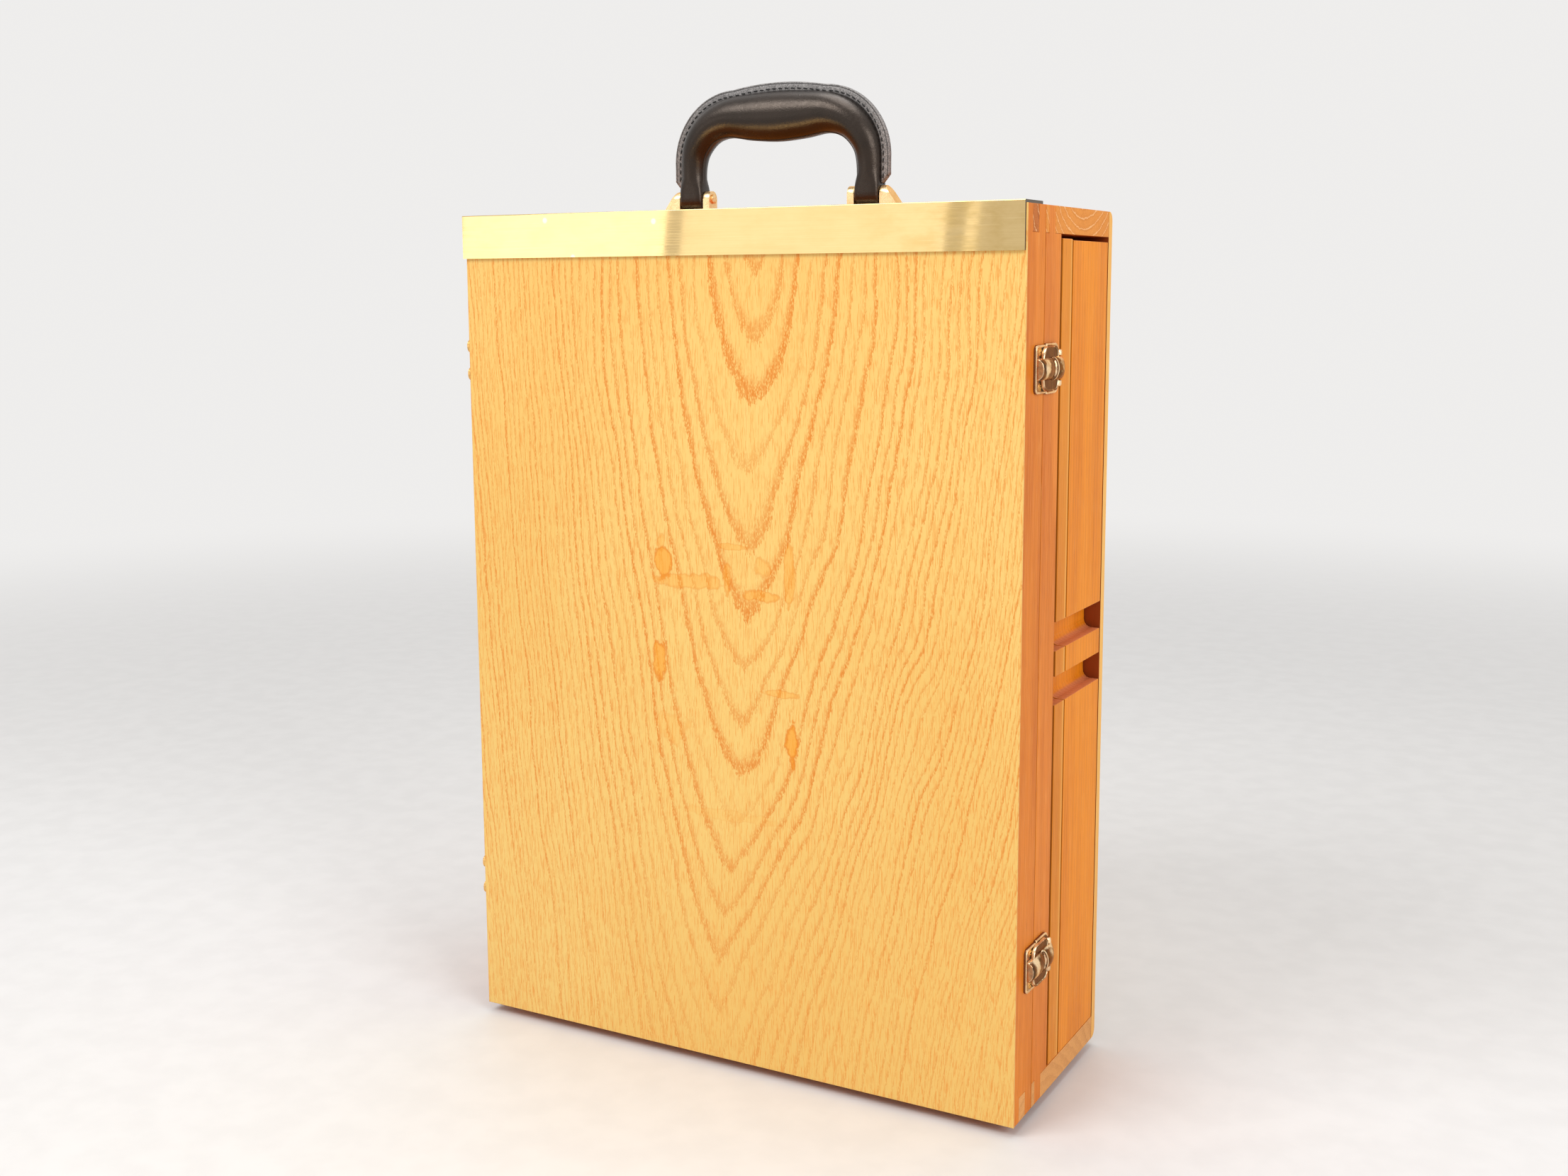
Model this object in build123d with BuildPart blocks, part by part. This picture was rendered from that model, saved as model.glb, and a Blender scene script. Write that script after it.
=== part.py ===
"""Pochade box: a painter's field box with a hinged lid, a palette tray and a tube drawer.

The box stands on its rubber feet, the way it is carried and put down, with the
leather handle on top and the oak face of the lid to the front.  It is made up
as one finger-jointed case, sawn into a shallow lid and a deeper body.  To work,
it is laid on its back panel: the lid then opens like a book on the two hinges of
the left side, and the tray and the drawer pull out through the right side.

Frame: origin on the ground, in the middle of the case's footprint.
+X towards the drawer side, +Y from the oak face to the back, +Z up.
"""

import os
from math import cos, radians, sin

from build123d import *

# ---------------------------------------------------------------- driving sizes
# Case
CASE_W = 358.0  # outside width
CASE_D = 136.0  # outside depth, oak face to back panel
CASE_H = 495.0  # outside height of the wood
FOOT_H = 6.0  # the case stands this far off the ground
WALL_T = 14.3  # boards of the case and the lid frame
BACK_T = 6.0  # planted back panel
BACK_ROUND = 5.0  # rounding of the back panel's top and bottom edges
LID_D = 26.8  # depth of the lid, oak face included
SEAM = 0.6  # saw line between lid and body
OAK_T = 1.2  # oak facing of the lid
OAK_ROUND = 0.8
CORE_T = 4.8  # board behind the oak facing
STILE_W = 23.6  # right-hand stile, in front of the drawer opening

# Finger joints
FINGER = 9.4  # width of a finger
LID_FIRST_FINGER = 6.9  # from the oak facing to the lid's first saw line
BODY_FIRST_FINGER = 4.8  # from the body's front edge to its first saw line

# Brass edge angle, one inch by one inch
ANGLE_LEG = 25.4
ANGLE_T = 1.6
ANGLE_OVERHANG = 1.0  # past the left edge of the lid
ANGLE_SHORT = 0.6  # short of the right edge
ANGLE_ROUND = 0.5

# Panel strips inside the lid: painting panels twelve inches wide go in between them
STRIP_D = 19.0
GROOVE_W = 3.6
GROOVE_DEEP = 9.6  # hinge side: the panel goes in here first
GROOVE_SHALLOW = 4.6  # latch side
HINGE_STRIP_WEB = 8.0  # wood left behind the deep groove
LATCH_STRIP_WEB = 11.7  # wood left behind the shallow groove
FIRST_GROOVE = 3.4  # from the lid's board to the first groove
GROOVE_PITCH = 9.0

# Drawer and palette tray, both drawn out to the right
RUN = 0.3  # running clearance
FRONT_T = 18.0  # thickness of the drawer front and the tray's front rail
TRAY_GAP = 2.8  # stile to tray
TRAY_D = 15.4
TRAY_TOP_GAP = 2.3
TRAY_RAIL_W = 12.0
PALETTE_T = 4.0
CLEAT_T = 6.0
CLEAT_D = 4.7
DRAWER_GAP = 1.4  # tray to drawer
DRAWER_BACK_GAP = 1.3  # drawer to back panel
DRAWER_TOP_GAP = 3.0
DRAWER_SIDE_T = 9.0
DRAWER_FLOOR_T = 4.0
DRAWER_FINGER = 9.0
DIVIDER_T = 6.0
DIVIDER_DROP = 4.0  # dividers stop this far below the drawer's open rim
BRUSH_BAY_W = 110.0  # long compartment at the closed end
END_GAP = 1.0  # tray and drawer to the left board, when pushed home

# Finger notches in the tray's front rail and the drawer front
PINCH_H = 14.5  # block left between the two notches
NOTCH_H = 16.0
NOTCH_DEPTH = 9.5
NOTCH_COVE = 5.0

# Latches, right side
LATCH_IN = 84.6  # from each end of the case to the middle of a latch or hinge
LATCH_H = 25.5
PLATE_T = 1.0
RIM_T = 0.7  # raised rim around the plates
RIM_W = 1.2
KEEPER_W = 14.5
PLATE_EDGE = 0.3  # from the lid's and the body's edge to a plate
BASE_W = 22.5
KEEPER_ROUND = 3.0
BASE_ROUND = 4.0
BOSS_D = 5.0
KEEPER_BOSS_IN = 6.5  # from the keeper's seam edge to the middle of its boss
LATCH_PIN_OUT = 3.4  # pin above the side of the box
LATCH_PIN_D = 2.0
PIN_FIT = 0.15
LATCH_PIN_IN = 19.1  # from the base plate's front edge to the pin
KNUCKLE_R = 2.0
EAR_R = 2.4
EAR_H = 3.7
EAR_GAP = 0.3
LEVER_GAP = 0.3
WING_T = 1.1
WING_W = 25.0
WING_H = 22.0
WING_TIP_ROUND = 7.0
WING_HEEL_ROUND = 3.0
WING_HEEL = 3.8  # from the pin to the wings
BARREL_L = 32.4  # from the pin to the barrel's tip
BARREL_H = 13.0
BARREL_TIP_H = 11.4
BARREL_RISE = 4.4
BARREL_TIP_RISE = 3.9
BARREL_TIP_L = 17.0
BARREL_WALL = 1.0
BARREL_HEEL = 1.2  # past the pin

# Hinges, left side
HINGE_H = 25.0
LEAF_T = 1.6
LEAF_EDGE = 0.4  # from the leaf's end to the lid's front
LOBE_H = 8.2
LOBE_L = 7.0
HINGE_KNUCKLE_R = 2.6
HINGE_GAP = 0.3
HINGE_PIN_D = 2.4
MIDDLE_KNUCKLE_H = 8.4

# Handle
LEG_PITCH = 116.4  # between the middles of the two legs
PIVOT_UP = 10.7  # pivot above the top board
MOUNT_FOOT_OUT = 20.8  # from a leg's middle to the end of its mount's foot
MOUNT_TOE_T = 1.8
MOUNT_BASE_T = 3.0
MOUNT_BASE_D = 17.0
MOUNT_EAR_R = 4.65
INNER_EAR_T = 4.3
OUTER_EAR_TOP = 2.9
DRUM_L = 15.6  # leather end between the ears
DRUM_R = 7.0
EAR_FIT = 0.3
PIVOT_D = 4.0
PIVOT_HEAD_D = 5.4
PIVOT_HEAD_T = 1.0
PIVOT_GRIP = 5.5  # thread in the outer ear
PIVOT_FIT = 0.3
GRIP_TOP = 71.2  # leather above the top board, without the welt
GRIP_UNDER = 42.1  # finger gap, at the belly
GRIP_THICK = 25.6
LEG_HALF = 7.3  # half size of a leg, across the arch
LEG_THICK_HALF = 6.7
WELT_TOP = 76.0  # top of the stitched welt along the outside of the grip
WELT_OUT = 12.8  # from a leg's middle to the welt's edge
WELT_HIP_UP = 30.0  # the welt's sides stand straight up to here
WELT_CREST = 0.43  # share of the welt's half width under the flat arc over the crown
WELT_CREST_DROP = 2.8
WELT_SHOULDER = 0.817  # share of the half width where the welt's shoulder passes
WELT_SHOULDER_DROP = 15.7
WELT_T = 3.5
WELT_END_UP = 18.4
WELT_DEPTH = 12.0  # from the welt's edge to its root inside the grip
EYE_R = 4.2
EYE_L = 12.6
CORE_BAND_T = 3.0
CORE_BAND_W = 8.0
CORE_UP = 56.0
CORE_BEND = 24.0

# Feet
FOOT_D = 15.0
FOOT_TOP_D = 17.0
FOOT_IN_X = 36.0  # from the sides to the middle of a foot
FOOT_FRONT_IN = 46.0  # from the oak face
FOOT_BACK_IN = 20.0  # from the back
FOOT_BORE_D = 8.0  # recess for the head of its screw
FOOT_SEAT_T = 2.6

# ---------------------------------------------------------------- derived places
LEFT, RIGHT = -CASE_W / 2, CASE_W / 2
FRONT, BACK = -CASE_D / 2, CASE_D / 2
BASE, TOP = FOOT_H, FOOT_H + CASE_H
INNER_LEFT, INNER_RIGHT = LEFT + WALL_T, RIGHT - WALL_T
INNER_BASE, INNER_TOP = BASE + WALL_T, TOP - WALL_T

RAIL_FRONT = FRONT + OAK_T
LID_BACK = FRONT + LID_D
CORE_BACK = RAIL_FRONT + CORE_T
BODY_FRONT = LID_BACK + SEAM
BODY_BACK = BACK - BACK_T
STILE_BACK = BODY_FRONT + STILE_W

TRAY_FRONT = STILE_BACK + TRAY_GAP
TRAY_BACK = TRAY_FRONT + TRAY_D
TRAY_BASE, TRAY_TOP = INNER_BASE + RUN, INNER_TOP - TRAY_TOP_GAP
DRAWER_FRONT = TRAY_BACK + DRAWER_GAP
DRAWER_BACK = BODY_BACK - DRAWER_BACK_GAP
DRAWER_BASE, DRAWER_TOP = INNER_BASE + RUN, INNER_TOP - DRAWER_TOP_GAP
FRONT_INSIDE = RIGHT - FRONT_T
HOME_LEFT = INNER_LEFT + END_GAP
MID_Z = BASE + CASE_H / 2

LATCH_LEVELS = {"upper": TOP - LATCH_IN, "lower": BASE + LATCH_IN}
KEEPER_BACK = LID_BACK - PLATE_EDGE
BASE_FRONT = BODY_FRONT + PLATE_EDGE
LATCH_PIN_Y = BASE_FRONT + LATCH_PIN_IN
LATCH_PIN_X = RIGHT + LATCH_PIN_OUT
LEVER_X = RIGHT + PLATE_T + RIM_T + LEVER_GAP  # underside of the lever

HINGE_PIN_X = LEFT - HINGE_KNUCKLE_R - HINGE_GAP
HINGE_PIN_Y = LID_BACK + SEAM / 2
LEAF_L = HINGE_PIN_Y - FRONT - LEAF_EDGE
KNUCKLE_REACH = HINGE_KNUCKLE_R + HINGE_GAP

PIVOT_Z = TOP + PIVOT_UP
HALF_PITCH = LEG_PITCH / 2
MOUNT_END = HALF_PITCH + MOUNT_FOOT_OUT
GRIP_MID = (GRIP_TOP + GRIP_UNDER) / 2
CROWN_HALF = (GRIP_TOP - GRIP_UNDER) / 2
WELT_HALF = HALF_PITCH + WELT_OUT

os.makedirs("parts", exist_ok=True)


# ---------------------------------------------------------------- helpers
def save(piece, name):
    """Label a finished piece and write it as its own STEP file."""
    piece.part.label = name
    export_step(piece.part, f"parts/{name}.step")


def span_face(x0, x1, y0, y1, mode=Mode.ADD):
    """Rectangle between two pairs of sides, in the open sketch."""
    with Locations(((x0 + x1) / 2, (y0 + y1) / 2)):
        Rectangle(x1 - x0, y1 - y0, mode=mode)


def comb_spans(start, stop, first, pitch=FINGER):
    """Spans between the saw lines of a finger joint, front to back."""
    lines = [start, start + first]
    while stop - lines[-1] > 1.5 * pitch:
        lines.append(lines[-1] + pitch)
    lines.append(stop)
    return list(zip(lines, lines[1:]))


LID_SPANS = comb_spans(RAIL_FRONT, LID_BACK, LID_FIRST_FINGER)
LID_SIDE_SPANS, LID_END_SPANS = LID_SPANS[0::2], LID_SPANS[1::2]
BODY_SPANS = comb_spans(BODY_FRONT, BODY_BACK, BODY_FIRST_FINGER)
BODY_SIDE_SPANS, BODY_END_SPANS = BODY_SPANS[1::2], BODY_SPANS[0::2]
STILE_SIDE_SPANS = [span for span in BODY_SIDE_SPANS if span[1] <= STILE_BACK + 0.001]


def end_board(y0, y1, z0, left_spans, right_spans):
    """Top or bottom board: notched at both ends for the fingers of the sides."""
    with BuildPart() as board:
        with BuildSketch(Plane.XY.offset(z0)):
            span_face(LEFT, RIGHT, y0, y1)
            for span in left_spans:
                span_face(LEFT, INNER_LEFT, *span, mode=Mode.SUBTRACT)
            for span in right_spans:
                span_face(INNER_RIGHT, RIGHT, *span, mode=Mode.SUBTRACT)
        extrude(amount=WALL_T)
    return board


def side_board(x0, y0, y1, end_spans):
    """Upright side: notched at top and bottom for the fingers of the end boards."""
    with BuildPart() as board:
        with BuildSketch(Plane.YZ.offset(x0)):
            span_face(y0, y1, BASE, TOP)
            for span in end_spans:
                span_face(*span, BASE, INNER_BASE, mode=Mode.SUBTRACT)
                span_face(*span, INNER_TOP, TOP, mode=Mode.SUBTRACT)
        extrude(amount=WALL_T)
    return board


# ---------------------------------------------------------------- case body
save(end_board(BODY_FRONT, BODY_BACK, INNER_TOP, BODY_SIDE_SPANS, STILE_SIDE_SPANS), "top_board")
save(end_board(BODY_FRONT, BODY_BACK, BASE, BODY_SIDE_SPANS, STILE_SIDE_SPANS), "bottom_board")
save(side_board(LEFT, BODY_FRONT, BODY_BACK, BODY_END_SPANS), "left_board")
stile_end_spans = [(y0, min(y1, STILE_BACK)) for y0, y1 in BODY_END_SPANS if y0 < STILE_BACK]
save(side_board(INNER_RIGHT, BODY_FRONT, STILE_BACK, stile_end_spans), "right_stile")

with BuildPart() as back_panel:
    with BuildSketch(Plane.XZ.offset(-BODY_BACK)):
        span_face(LEFT, RIGHT, BASE, TOP)
    extrude(amount=-BACK_T)
    long_edges = back_panel.edges().filter_by(Axis.X).group_by(Axis.Y)[-1]
    fillet(long_edges, min(BACK_ROUND, 0.9 * BACK_T))
save(back_panel, "back_panel")


def tray_runner(z0, z1):
    """Cleat on an end board that the palette tray rides on."""
    with BuildPart() as runner:
        with BuildSketch(Plane.YZ.offset(INNER_LEFT)):
            span_face(TRAY_BACK - CLEAT_D, TRAY_BACK, z0, z1)
        extrude(amount=FRONT_INSIDE - END_GAP - INNER_LEFT)
    return runner


save(tray_runner(INNER_BASE, INNER_BASE + CLEAT_T), "tray_runner_bottom")
save(tray_runner(TRAY_TOP - CLEAT_T, INNER_TOP), "tray_runner_top")

# ---------------------------------------------------------------- feet
foot_places = [
    (x, y)
    for x in (LEFT + FOOT_IN_X, RIGHT - FOOT_IN_X)
    for y in (FRONT + FOOT_FRONT_IN, BACK - FOOT_BACK_IN)
]
with BuildPart() as one_foot:
    with BuildSketch(Plane.XZ):
        with BuildLine():
            Polyline(
                (FOOT_BORE_D / 2, 0),
                (FOOT_D / 2, 0),
                (FOOT_TOP_D / 2, FOOT_H),
                (0, FOOT_H),
                (0, FOOT_H - FOOT_SEAT_T),
                (FOOT_BORE_D / 2, FOOT_H - FOOT_SEAT_T),
                close=True,
            )
        make_face()
    revolve(axis=Axis.Z)
with BuildPart() as rubber_feet:
    with Locations(*foot_places):
        add(one_foot.part)
save(rubber_feet, "rubber_feet")

# ---------------------------------------------------------------- lid
save(end_board(RAIL_FRONT, LID_BACK, INNER_TOP, LID_SIDE_SPANS, LID_SIDE_SPANS), "lid_top_rail")
save(end_board(RAIL_FRONT, LID_BACK, BASE, LID_SIDE_SPANS, LID_SIDE_SPANS), "lid_bottom_rail")
save(side_board(LEFT, RAIL_FRONT, LID_BACK, LID_END_SPANS), "lid_left_rail")
save(side_board(INNER_RIGHT, RAIL_FRONT, LID_BACK, LID_END_SPANS), "lid_right_rail")

with BuildPart() as lid_core:
    with BuildSketch(Plane.XZ.offset(-RAIL_FRONT)):
        span_face(INNER_LEFT, INNER_RIGHT, INNER_BASE, INNER_TOP)
    extrude(amount=-CORE_T)
save(lid_core, "lid_core")

with BuildPart() as oak_face:
    with BuildSketch(Plane.XZ.offset(-FRONT)):
        span_face(LEFT, RIGHT, BASE, TOP)
    extrude(amount=-OAK_T)
    front_edges = oak_face.faces().sort_by(Axis.Y)[0].edges()
    fillet(front_edges.sort_by(Axis.Z)[:-1], min(OAK_ROUND, 0.7 * OAK_T))
save(oak_face, "oak_face")

with BuildPart() as brass_edge_angle:
    with BuildSketch(Plane.YZ.offset(LEFT - ANGLE_OVERHANG)) as angle_section:
        outer_y, outer_z = FRONT - ANGLE_T, TOP + ANGLE_T
        span_face(outer_y, outer_y + ANGLE_LEG, TOP, outer_z)
        span_face(outer_y, FRONT, outer_z - ANGLE_LEG, outer_z)
        outer_corner = angle_section.vertices().group_by(Axis.X)[0].sort_by(Axis.Y)[-1]
        fillet(outer_corner, min(ANGLE_ROUND, 0.6 * ANGLE_T))
    extrude(amount=CASE_W + ANGLE_OVERHANG - ANGLE_SHORT)
save(brass_edge_angle, "brass_edge_angle")


def panel_strip(x0, x1, groove_x0, groove_x1):
    """Grooved upright inside the lid that holds the edges of painting panels."""
    with BuildPart() as strip:
        with BuildSketch(Plane.XY.offset(INNER_BASE)):
            span_face(x0, x1, CORE_BACK, CORE_BACK + STRIP_D)
            for index in range(2):
                groove_y = CORE_BACK + FIRST_GROOVE + index * GROOVE_PITCH
                span_face(groove_x0, groove_x1, groove_y, groove_y + GROOVE_W, mode=Mode.SUBTRACT)
        extrude(amount=INNER_TOP - INNER_BASE)
    return strip


hinge_strip_x = INNER_LEFT + HINGE_STRIP_WEB + GROOVE_DEEP
save(panel_strip(INNER_LEFT, hinge_strip_x, hinge_strip_x - GROOVE_DEEP, hinge_strip_x), "panel_strip_hinge_side")
latch_strip_x = INNER_RIGHT - LATCH_STRIP_WEB - GROOVE_SHALLOW
save(panel_strip(latch_strip_x, INNER_RIGHT, latch_strip_x, latch_strip_x + GROOVE_SHALLOW), "panel_strip_latch_side")


# ---------------------------------------------------------------- finger notches
def notched_front(y0, y1, z0, z1):
    """Front of the drawer or tray, with two finger notches, each coved where its floor ends."""
    with BuildPart() as front:
        with BuildSketch(Plane.XZ.offset(-y0)):
            span_face(FRONT_INSIDE, RIGHT, z0, z1)
            for side in (-1, 1):
                near = MID_Z + side * PINCH_H / 2
                far = near + side * NOTCH_H
                span_face(RIGHT - NOTCH_DEPTH, RIGHT, min(near, far), max(near, far), mode=Mode.SUBTRACT)
        extrude(amount=-(y1 - y0))
        for floor_z in (MID_Z - PINCH_H / 2 - NOTCH_H, MID_Z + PINCH_H / 2):
            inner_corner = front.edges().filter_by(Axis.Y).sort_by_distance(
                (RIGHT - NOTCH_DEPTH, (y0 + y1) / 2, floor_z)
            )[0]
            fillet(inner_corner, min(NOTCH_COVE, 0.9 * NOTCH_H, 0.9 * NOTCH_DEPTH))
    return front


# ---------------------------------------------------------------- palette tray
save(notched_front(TRAY_FRONT, TRAY_BACK, TRAY_BASE, TRAY_TOP), "tray_front_rail")


def tray_side_rail(z0, direction):
    """Rail along the tray, rebated where it rides on its cleat."""
    floor_y = TRAY_BACK - PALETTE_T
    with BuildPart() as rail:
        with BuildSketch(Plane.YZ.offset(HOME_LEFT)):
            with BuildLine():
                Polyline(
                    (TRAY_FRONT, z0),
                    (TRAY_BACK - CLEAT_D - RUN, z0),
                    (TRAY_BACK - CLEAT_D - RUN, z0 + direction * CLEAT_T),
                    (floor_y, z0 + direction * CLEAT_T),
                    (floor_y, z0 + direction * TRAY_RAIL_W),
                    (TRAY_FRONT, z0 + direction * TRAY_RAIL_W),
                    close=True,
                )
            make_face()
        extrude(amount=FRONT_INSIDE - HOME_LEFT)
    return rail


save(tray_side_rail(TRAY_BASE, 1), "tray_side_rail_bottom")
save(tray_side_rail(TRAY_TOP - RUN, -1), "tray_side_rail_top")

rail_inside_base = TRAY_BASE + TRAY_RAIL_W
rail_inside_top = TRAY_TOP - RUN - TRAY_RAIL_W
with BuildPart() as tray_back_rail:
    with BuildSketch(Plane.YZ.offset(HOME_LEFT)):
        span_face(TRAY_FRONT, TRAY_BACK - PALETTE_T, rail_inside_base, rail_inside_top)
    extrude(amount=TRAY_RAIL_W)
save(tray_back_rail, "tray_back_rail")

with BuildPart() as palette_board:
    with BuildSketch(Plane.XZ.offset(PALETTE_T - TRAY_BACK)):
        span_face(HOME_LEFT, FRONT_INSIDE, TRAY_BASE + CLEAT_T, TRAY_TOP - RUN - CLEAT_T)
    extrude(amount=-PALETTE_T)
save(palette_board, "palette_board")

# ---------------------------------------------------------------- drawer
save(notched_front(DRAWER_FRONT, DRAWER_BACK, DRAWER_BASE, DRAWER_TOP), "drawer_front")

FLOOR_Y = DRAWER_BACK - DRAWER_FLOOR_T
DRAWER_SPANS = comb_spans(DRAWER_FRONT, FLOOR_Y, DRAWER_FINGER, DRAWER_FINGER)


def drawer_side(z0):
    """Side of the drawer, finger-jointed to the drawer's back."""
    with BuildPart() as side:
        with BuildSketch(Plane.XY.offset(z0)):
            span_face(HOME_LEFT, FRONT_INSIDE, DRAWER_FRONT, FLOOR_Y)
            for span in DRAWER_SPANS[1::2]:
                span_face(HOME_LEFT, HOME_LEFT + DRAWER_SIDE_T, *span, mode=Mode.SUBTRACT)
        extrude(amount=DRAWER_SIDE_T)
    return side


save(drawer_side(DRAWER_BASE), "drawer_side_bottom")
save(drawer_side(DRAWER_TOP - DRAWER_SIDE_T), "drawer_side_top")

bay_base, bay_top = DRAWER_BASE + DRAWER_SIDE_T, DRAWER_TOP - DRAWER_SIDE_T
with BuildPart() as drawer_back:
    with BuildSketch(Plane.YZ.offset(HOME_LEFT)):
        span_face(DRAWER_FRONT, FLOOR_Y, DRAWER_BASE, DRAWER_TOP)
        for span in DRAWER_SPANS[0::2]:
            span_face(*span, DRAWER_BASE, bay_base, mode=Mode.SUBTRACT)
            span_face(*span, bay_top, DRAWER_TOP, mode=Mode.SUBTRACT)
    extrude(amount=DRAWER_SIDE_T)
save(drawer_back, "drawer_back")

with BuildPart() as drawer_floor:
    with BuildSketch(Plane.XZ.offset(-FLOOR_Y)):
        span_face(HOME_LEFT, FRONT_INSIDE, DRAWER_BASE, DRAWER_TOP)
    extrude(amount=-DRAWER_FLOOR_T)
save(drawer_floor, "drawer_floor")

divider_front = DRAWER_FRONT + DIVIDER_DROP
divider_x = HOME_LEFT + DRAWER_SIDE_T + BRUSH_BAY_W
with BuildPart() as drawer_long_divider:
    with BuildSketch(Plane.YZ.offset(divider_x)):
        span_face(divider_front, FLOOR_Y, bay_base, bay_top)
    extrude(amount=DIVIDER_T)
save(drawer_long_divider, "drawer_long_divider")

bay_step = (bay_top - bay_base + DIVIDER_T) / 3
for index, level in enumerate(("lower", "upper"), start=1):
    divider_z = bay_base + index * bay_step - DIVIDER_T
    with BuildPart() as cross_divider:
        with BuildSketch(Plane.XY.offset(divider_z)):
            span_face(divider_x + DIVIDER_T, FRONT_INSIDE, divider_front, FLOOR_Y)
        extrude(amount=DIVIDER_T)
    save(cross_divider, f"drawer_cross_divider_{level}")

# ---------------------------------------------------------------- latches
def rounded_plate(y0, y1, z, round_r, rounded_side, height=LATCH_H, inset=0.0):
    """Outline of a latch plate, rounded at the end away from the seam."""
    with BuildSketch() as outline:
        with Locations(((y0 + y1) / 2, z)):
            Rectangle(y1 - y0 - 2 * inset, height - 2 * inset)
        corners = outline.vertices().group_by(Axis.X)[rounded_side]
        fillet(corners, round_r)
    return outline.sketch


def latch_keeper(z):
    """Plate on the lid, with a rim on three sides and a low boss for the lever's tip."""
    y0, y1 = KEEPER_BACK - KEEPER_W, KEEPER_BACK
    with BuildPart() as keeper:
        with BuildSketch(Plane.YZ.offset(RIGHT)):
            add(rounded_plate(y0, y1, z, KEEPER_ROUND, 0))
        extrude(amount=PLATE_T + RIM_T)
        with BuildSketch(Plane.YZ.offset(RIGHT + PLATE_T)):
            floor = rounded_plate(y0, y1 + 2 * RIM_W, z, KEEPER_ROUND - RIM_W, 0, LATCH_H, RIM_W)
            add(floor)
        extrude(amount=RIM_T, mode=Mode.SUBTRACT)
        with BuildSketch(Plane.YZ.offset(RIGHT + PLATE_T)):
            with Locations((KEEPER_BACK - KEEPER_BOSS_IN, z)):
                Circle(BOSS_D / 2)
        extrude(amount=RIM_T)
    return keeper


def latch_base(z):
    """Plate on the stile, with a rim on three sides and two ears for the lever's pin."""
    y0, y1 = BASE_FRONT, BASE_FRONT + BASE_W
    ear_z = BARREL_H / 2 + EAR_GAP
    with BuildPart() as base:
        with BuildSketch(Plane.YZ.offset(RIGHT)):
            add(rounded_plate(y0, y1, z, BASE_ROUND, -1))
        extrude(amount=PLATE_T + RIM_T)
        with BuildSketch(Plane.YZ.offset(RIGHT + PLATE_T)):
            floor = rounded_plate(y0 - 2 * RIM_W, y1, z, BASE_ROUND - RIM_W, -1, LATCH_H, RIM_W)
            add(floor)
        extrude(amount=RIM_T, mode=Mode.SUBTRACT)
        for ear_base in (z + ear_z, z - ear_z - EAR_H):
            with BuildSketch(Plane.XY.offset(ear_base)):
                with Locations((LATCH_PIN_X, LATCH_PIN_Y)):
                    Circle(EAR_R)
                span_face(RIGHT + PLATE_T / 2, LATCH_PIN_X, LATCH_PIN_Y - EAR_R, LATCH_PIN_Y + EAR_R)
            extrude(amount=EAR_H)
        with BuildSketch(Plane.XY.offset(z - ear_z - EAR_H)):
            with Locations((LATCH_PIN_X, LATCH_PIN_Y)):
                Circle(LATCH_PIN_D / 2)
        extrude(amount=2 * (ear_z + EAR_H), mode=Mode.SUBTRACT)
    return base


def barrel_section(y, z, height, rise):
    """Half-barrel section: a chord on the lever's underside under an arc."""
    with BuildSketch(Plane.XZ.offset(-y)) as section:
        with BuildLine():
            ThreePointArc((LEVER_X, z - height / 2), (LEVER_X + rise, z), (LEVER_X, z + height / 2))
            Line((LEVER_X, z + height / 2), (LEVER_X, z - height / 2))
        make_face()
    return section.sketch


def latch_lever(z):
    """Hollow half-barrel with a pair of wings, turning on its pin between the ears."""
    tip_y, heel_y = LATCH_PIN_Y - BARREL_L, LATCH_PIN_Y + BARREL_HEEL
    step_y = tip_y + BARREL_TIP_L
    knuckle_y = LATCH_PIN_Y - KNUCKLE_R
    wing_end = LATCH_PIN_Y - WING_HEEL
    with BuildPart() as lever:
        extrude(barrel_section(tip_y, z, BARREL_TIP_H, BARREL_TIP_RISE), amount=-BARREL_TIP_L)
        extrude(barrel_section(step_y, z, BARREL_H, BARREL_RISE), amount=step_y - heel_y)
        with BuildSketch(Plane.XY.offset(z - BARREL_H / 2)):
            with Locations((LATCH_PIN_X, LATCH_PIN_Y)):
                Circle(KNUCKLE_R)
        extrude(amount=BARREL_H)
        with BuildSketch(Plane.YZ.offset(LEVER_X)) as wings:
            with Locations((wing_end - WING_W / 2, z)):
                Rectangle(WING_W, WING_H)
            fillet(wings.vertices().group_by(Axis.X)[0], WING_TIP_ROUND)
            fillet(wings.vertices().group_by(Axis.X)[-1], WING_HEEL_ROUND)
        extrude(amount=WING_T)
        hollow_h, hollow_rise = BARREL_TIP_H - 2 * BARREL_WALL, BARREL_TIP_RISE - BARREL_WALL
        hollow = barrel_section(tip_y + BARREL_WALL, z, hollow_h, hollow_rise)
        extrude(hollow, amount=tip_y + BARREL_WALL - knuckle_y, mode=Mode.SUBTRACT)
        with BuildSketch(Plane.XY.offset(z - BARREL_H / 2)):
            with Locations((LATCH_PIN_X, LATCH_PIN_Y)):
                Circle(LATCH_PIN_D / 2 + PIN_FIT)
        extrude(amount=BARREL_H, mode=Mode.SUBTRACT)
    return lever


for level, latch_z in LATCH_LEVELS.items():
    save(latch_keeper(latch_z), f"latch_keeper_{level}")
    save(latch_base(latch_z), f"latch_base_{level}")
    save(latch_lever(latch_z), f"latch_lever_{level}")

with BuildPart() as latch_pins:
    pin_half = BARREL_H / 2 + EAR_GAP + EAR_H
    for latch_z in LATCH_LEVELS.values():
        with BuildSketch(Plane.XY.offset(latch_z - pin_half)):
            with Locations((LATCH_PIN_X, LATCH_PIN_Y)):
                Circle(LATCH_PIN_D / 2)
        extrude(amount=2 * pin_half)
save(latch_pins, "latch_pins")


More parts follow.
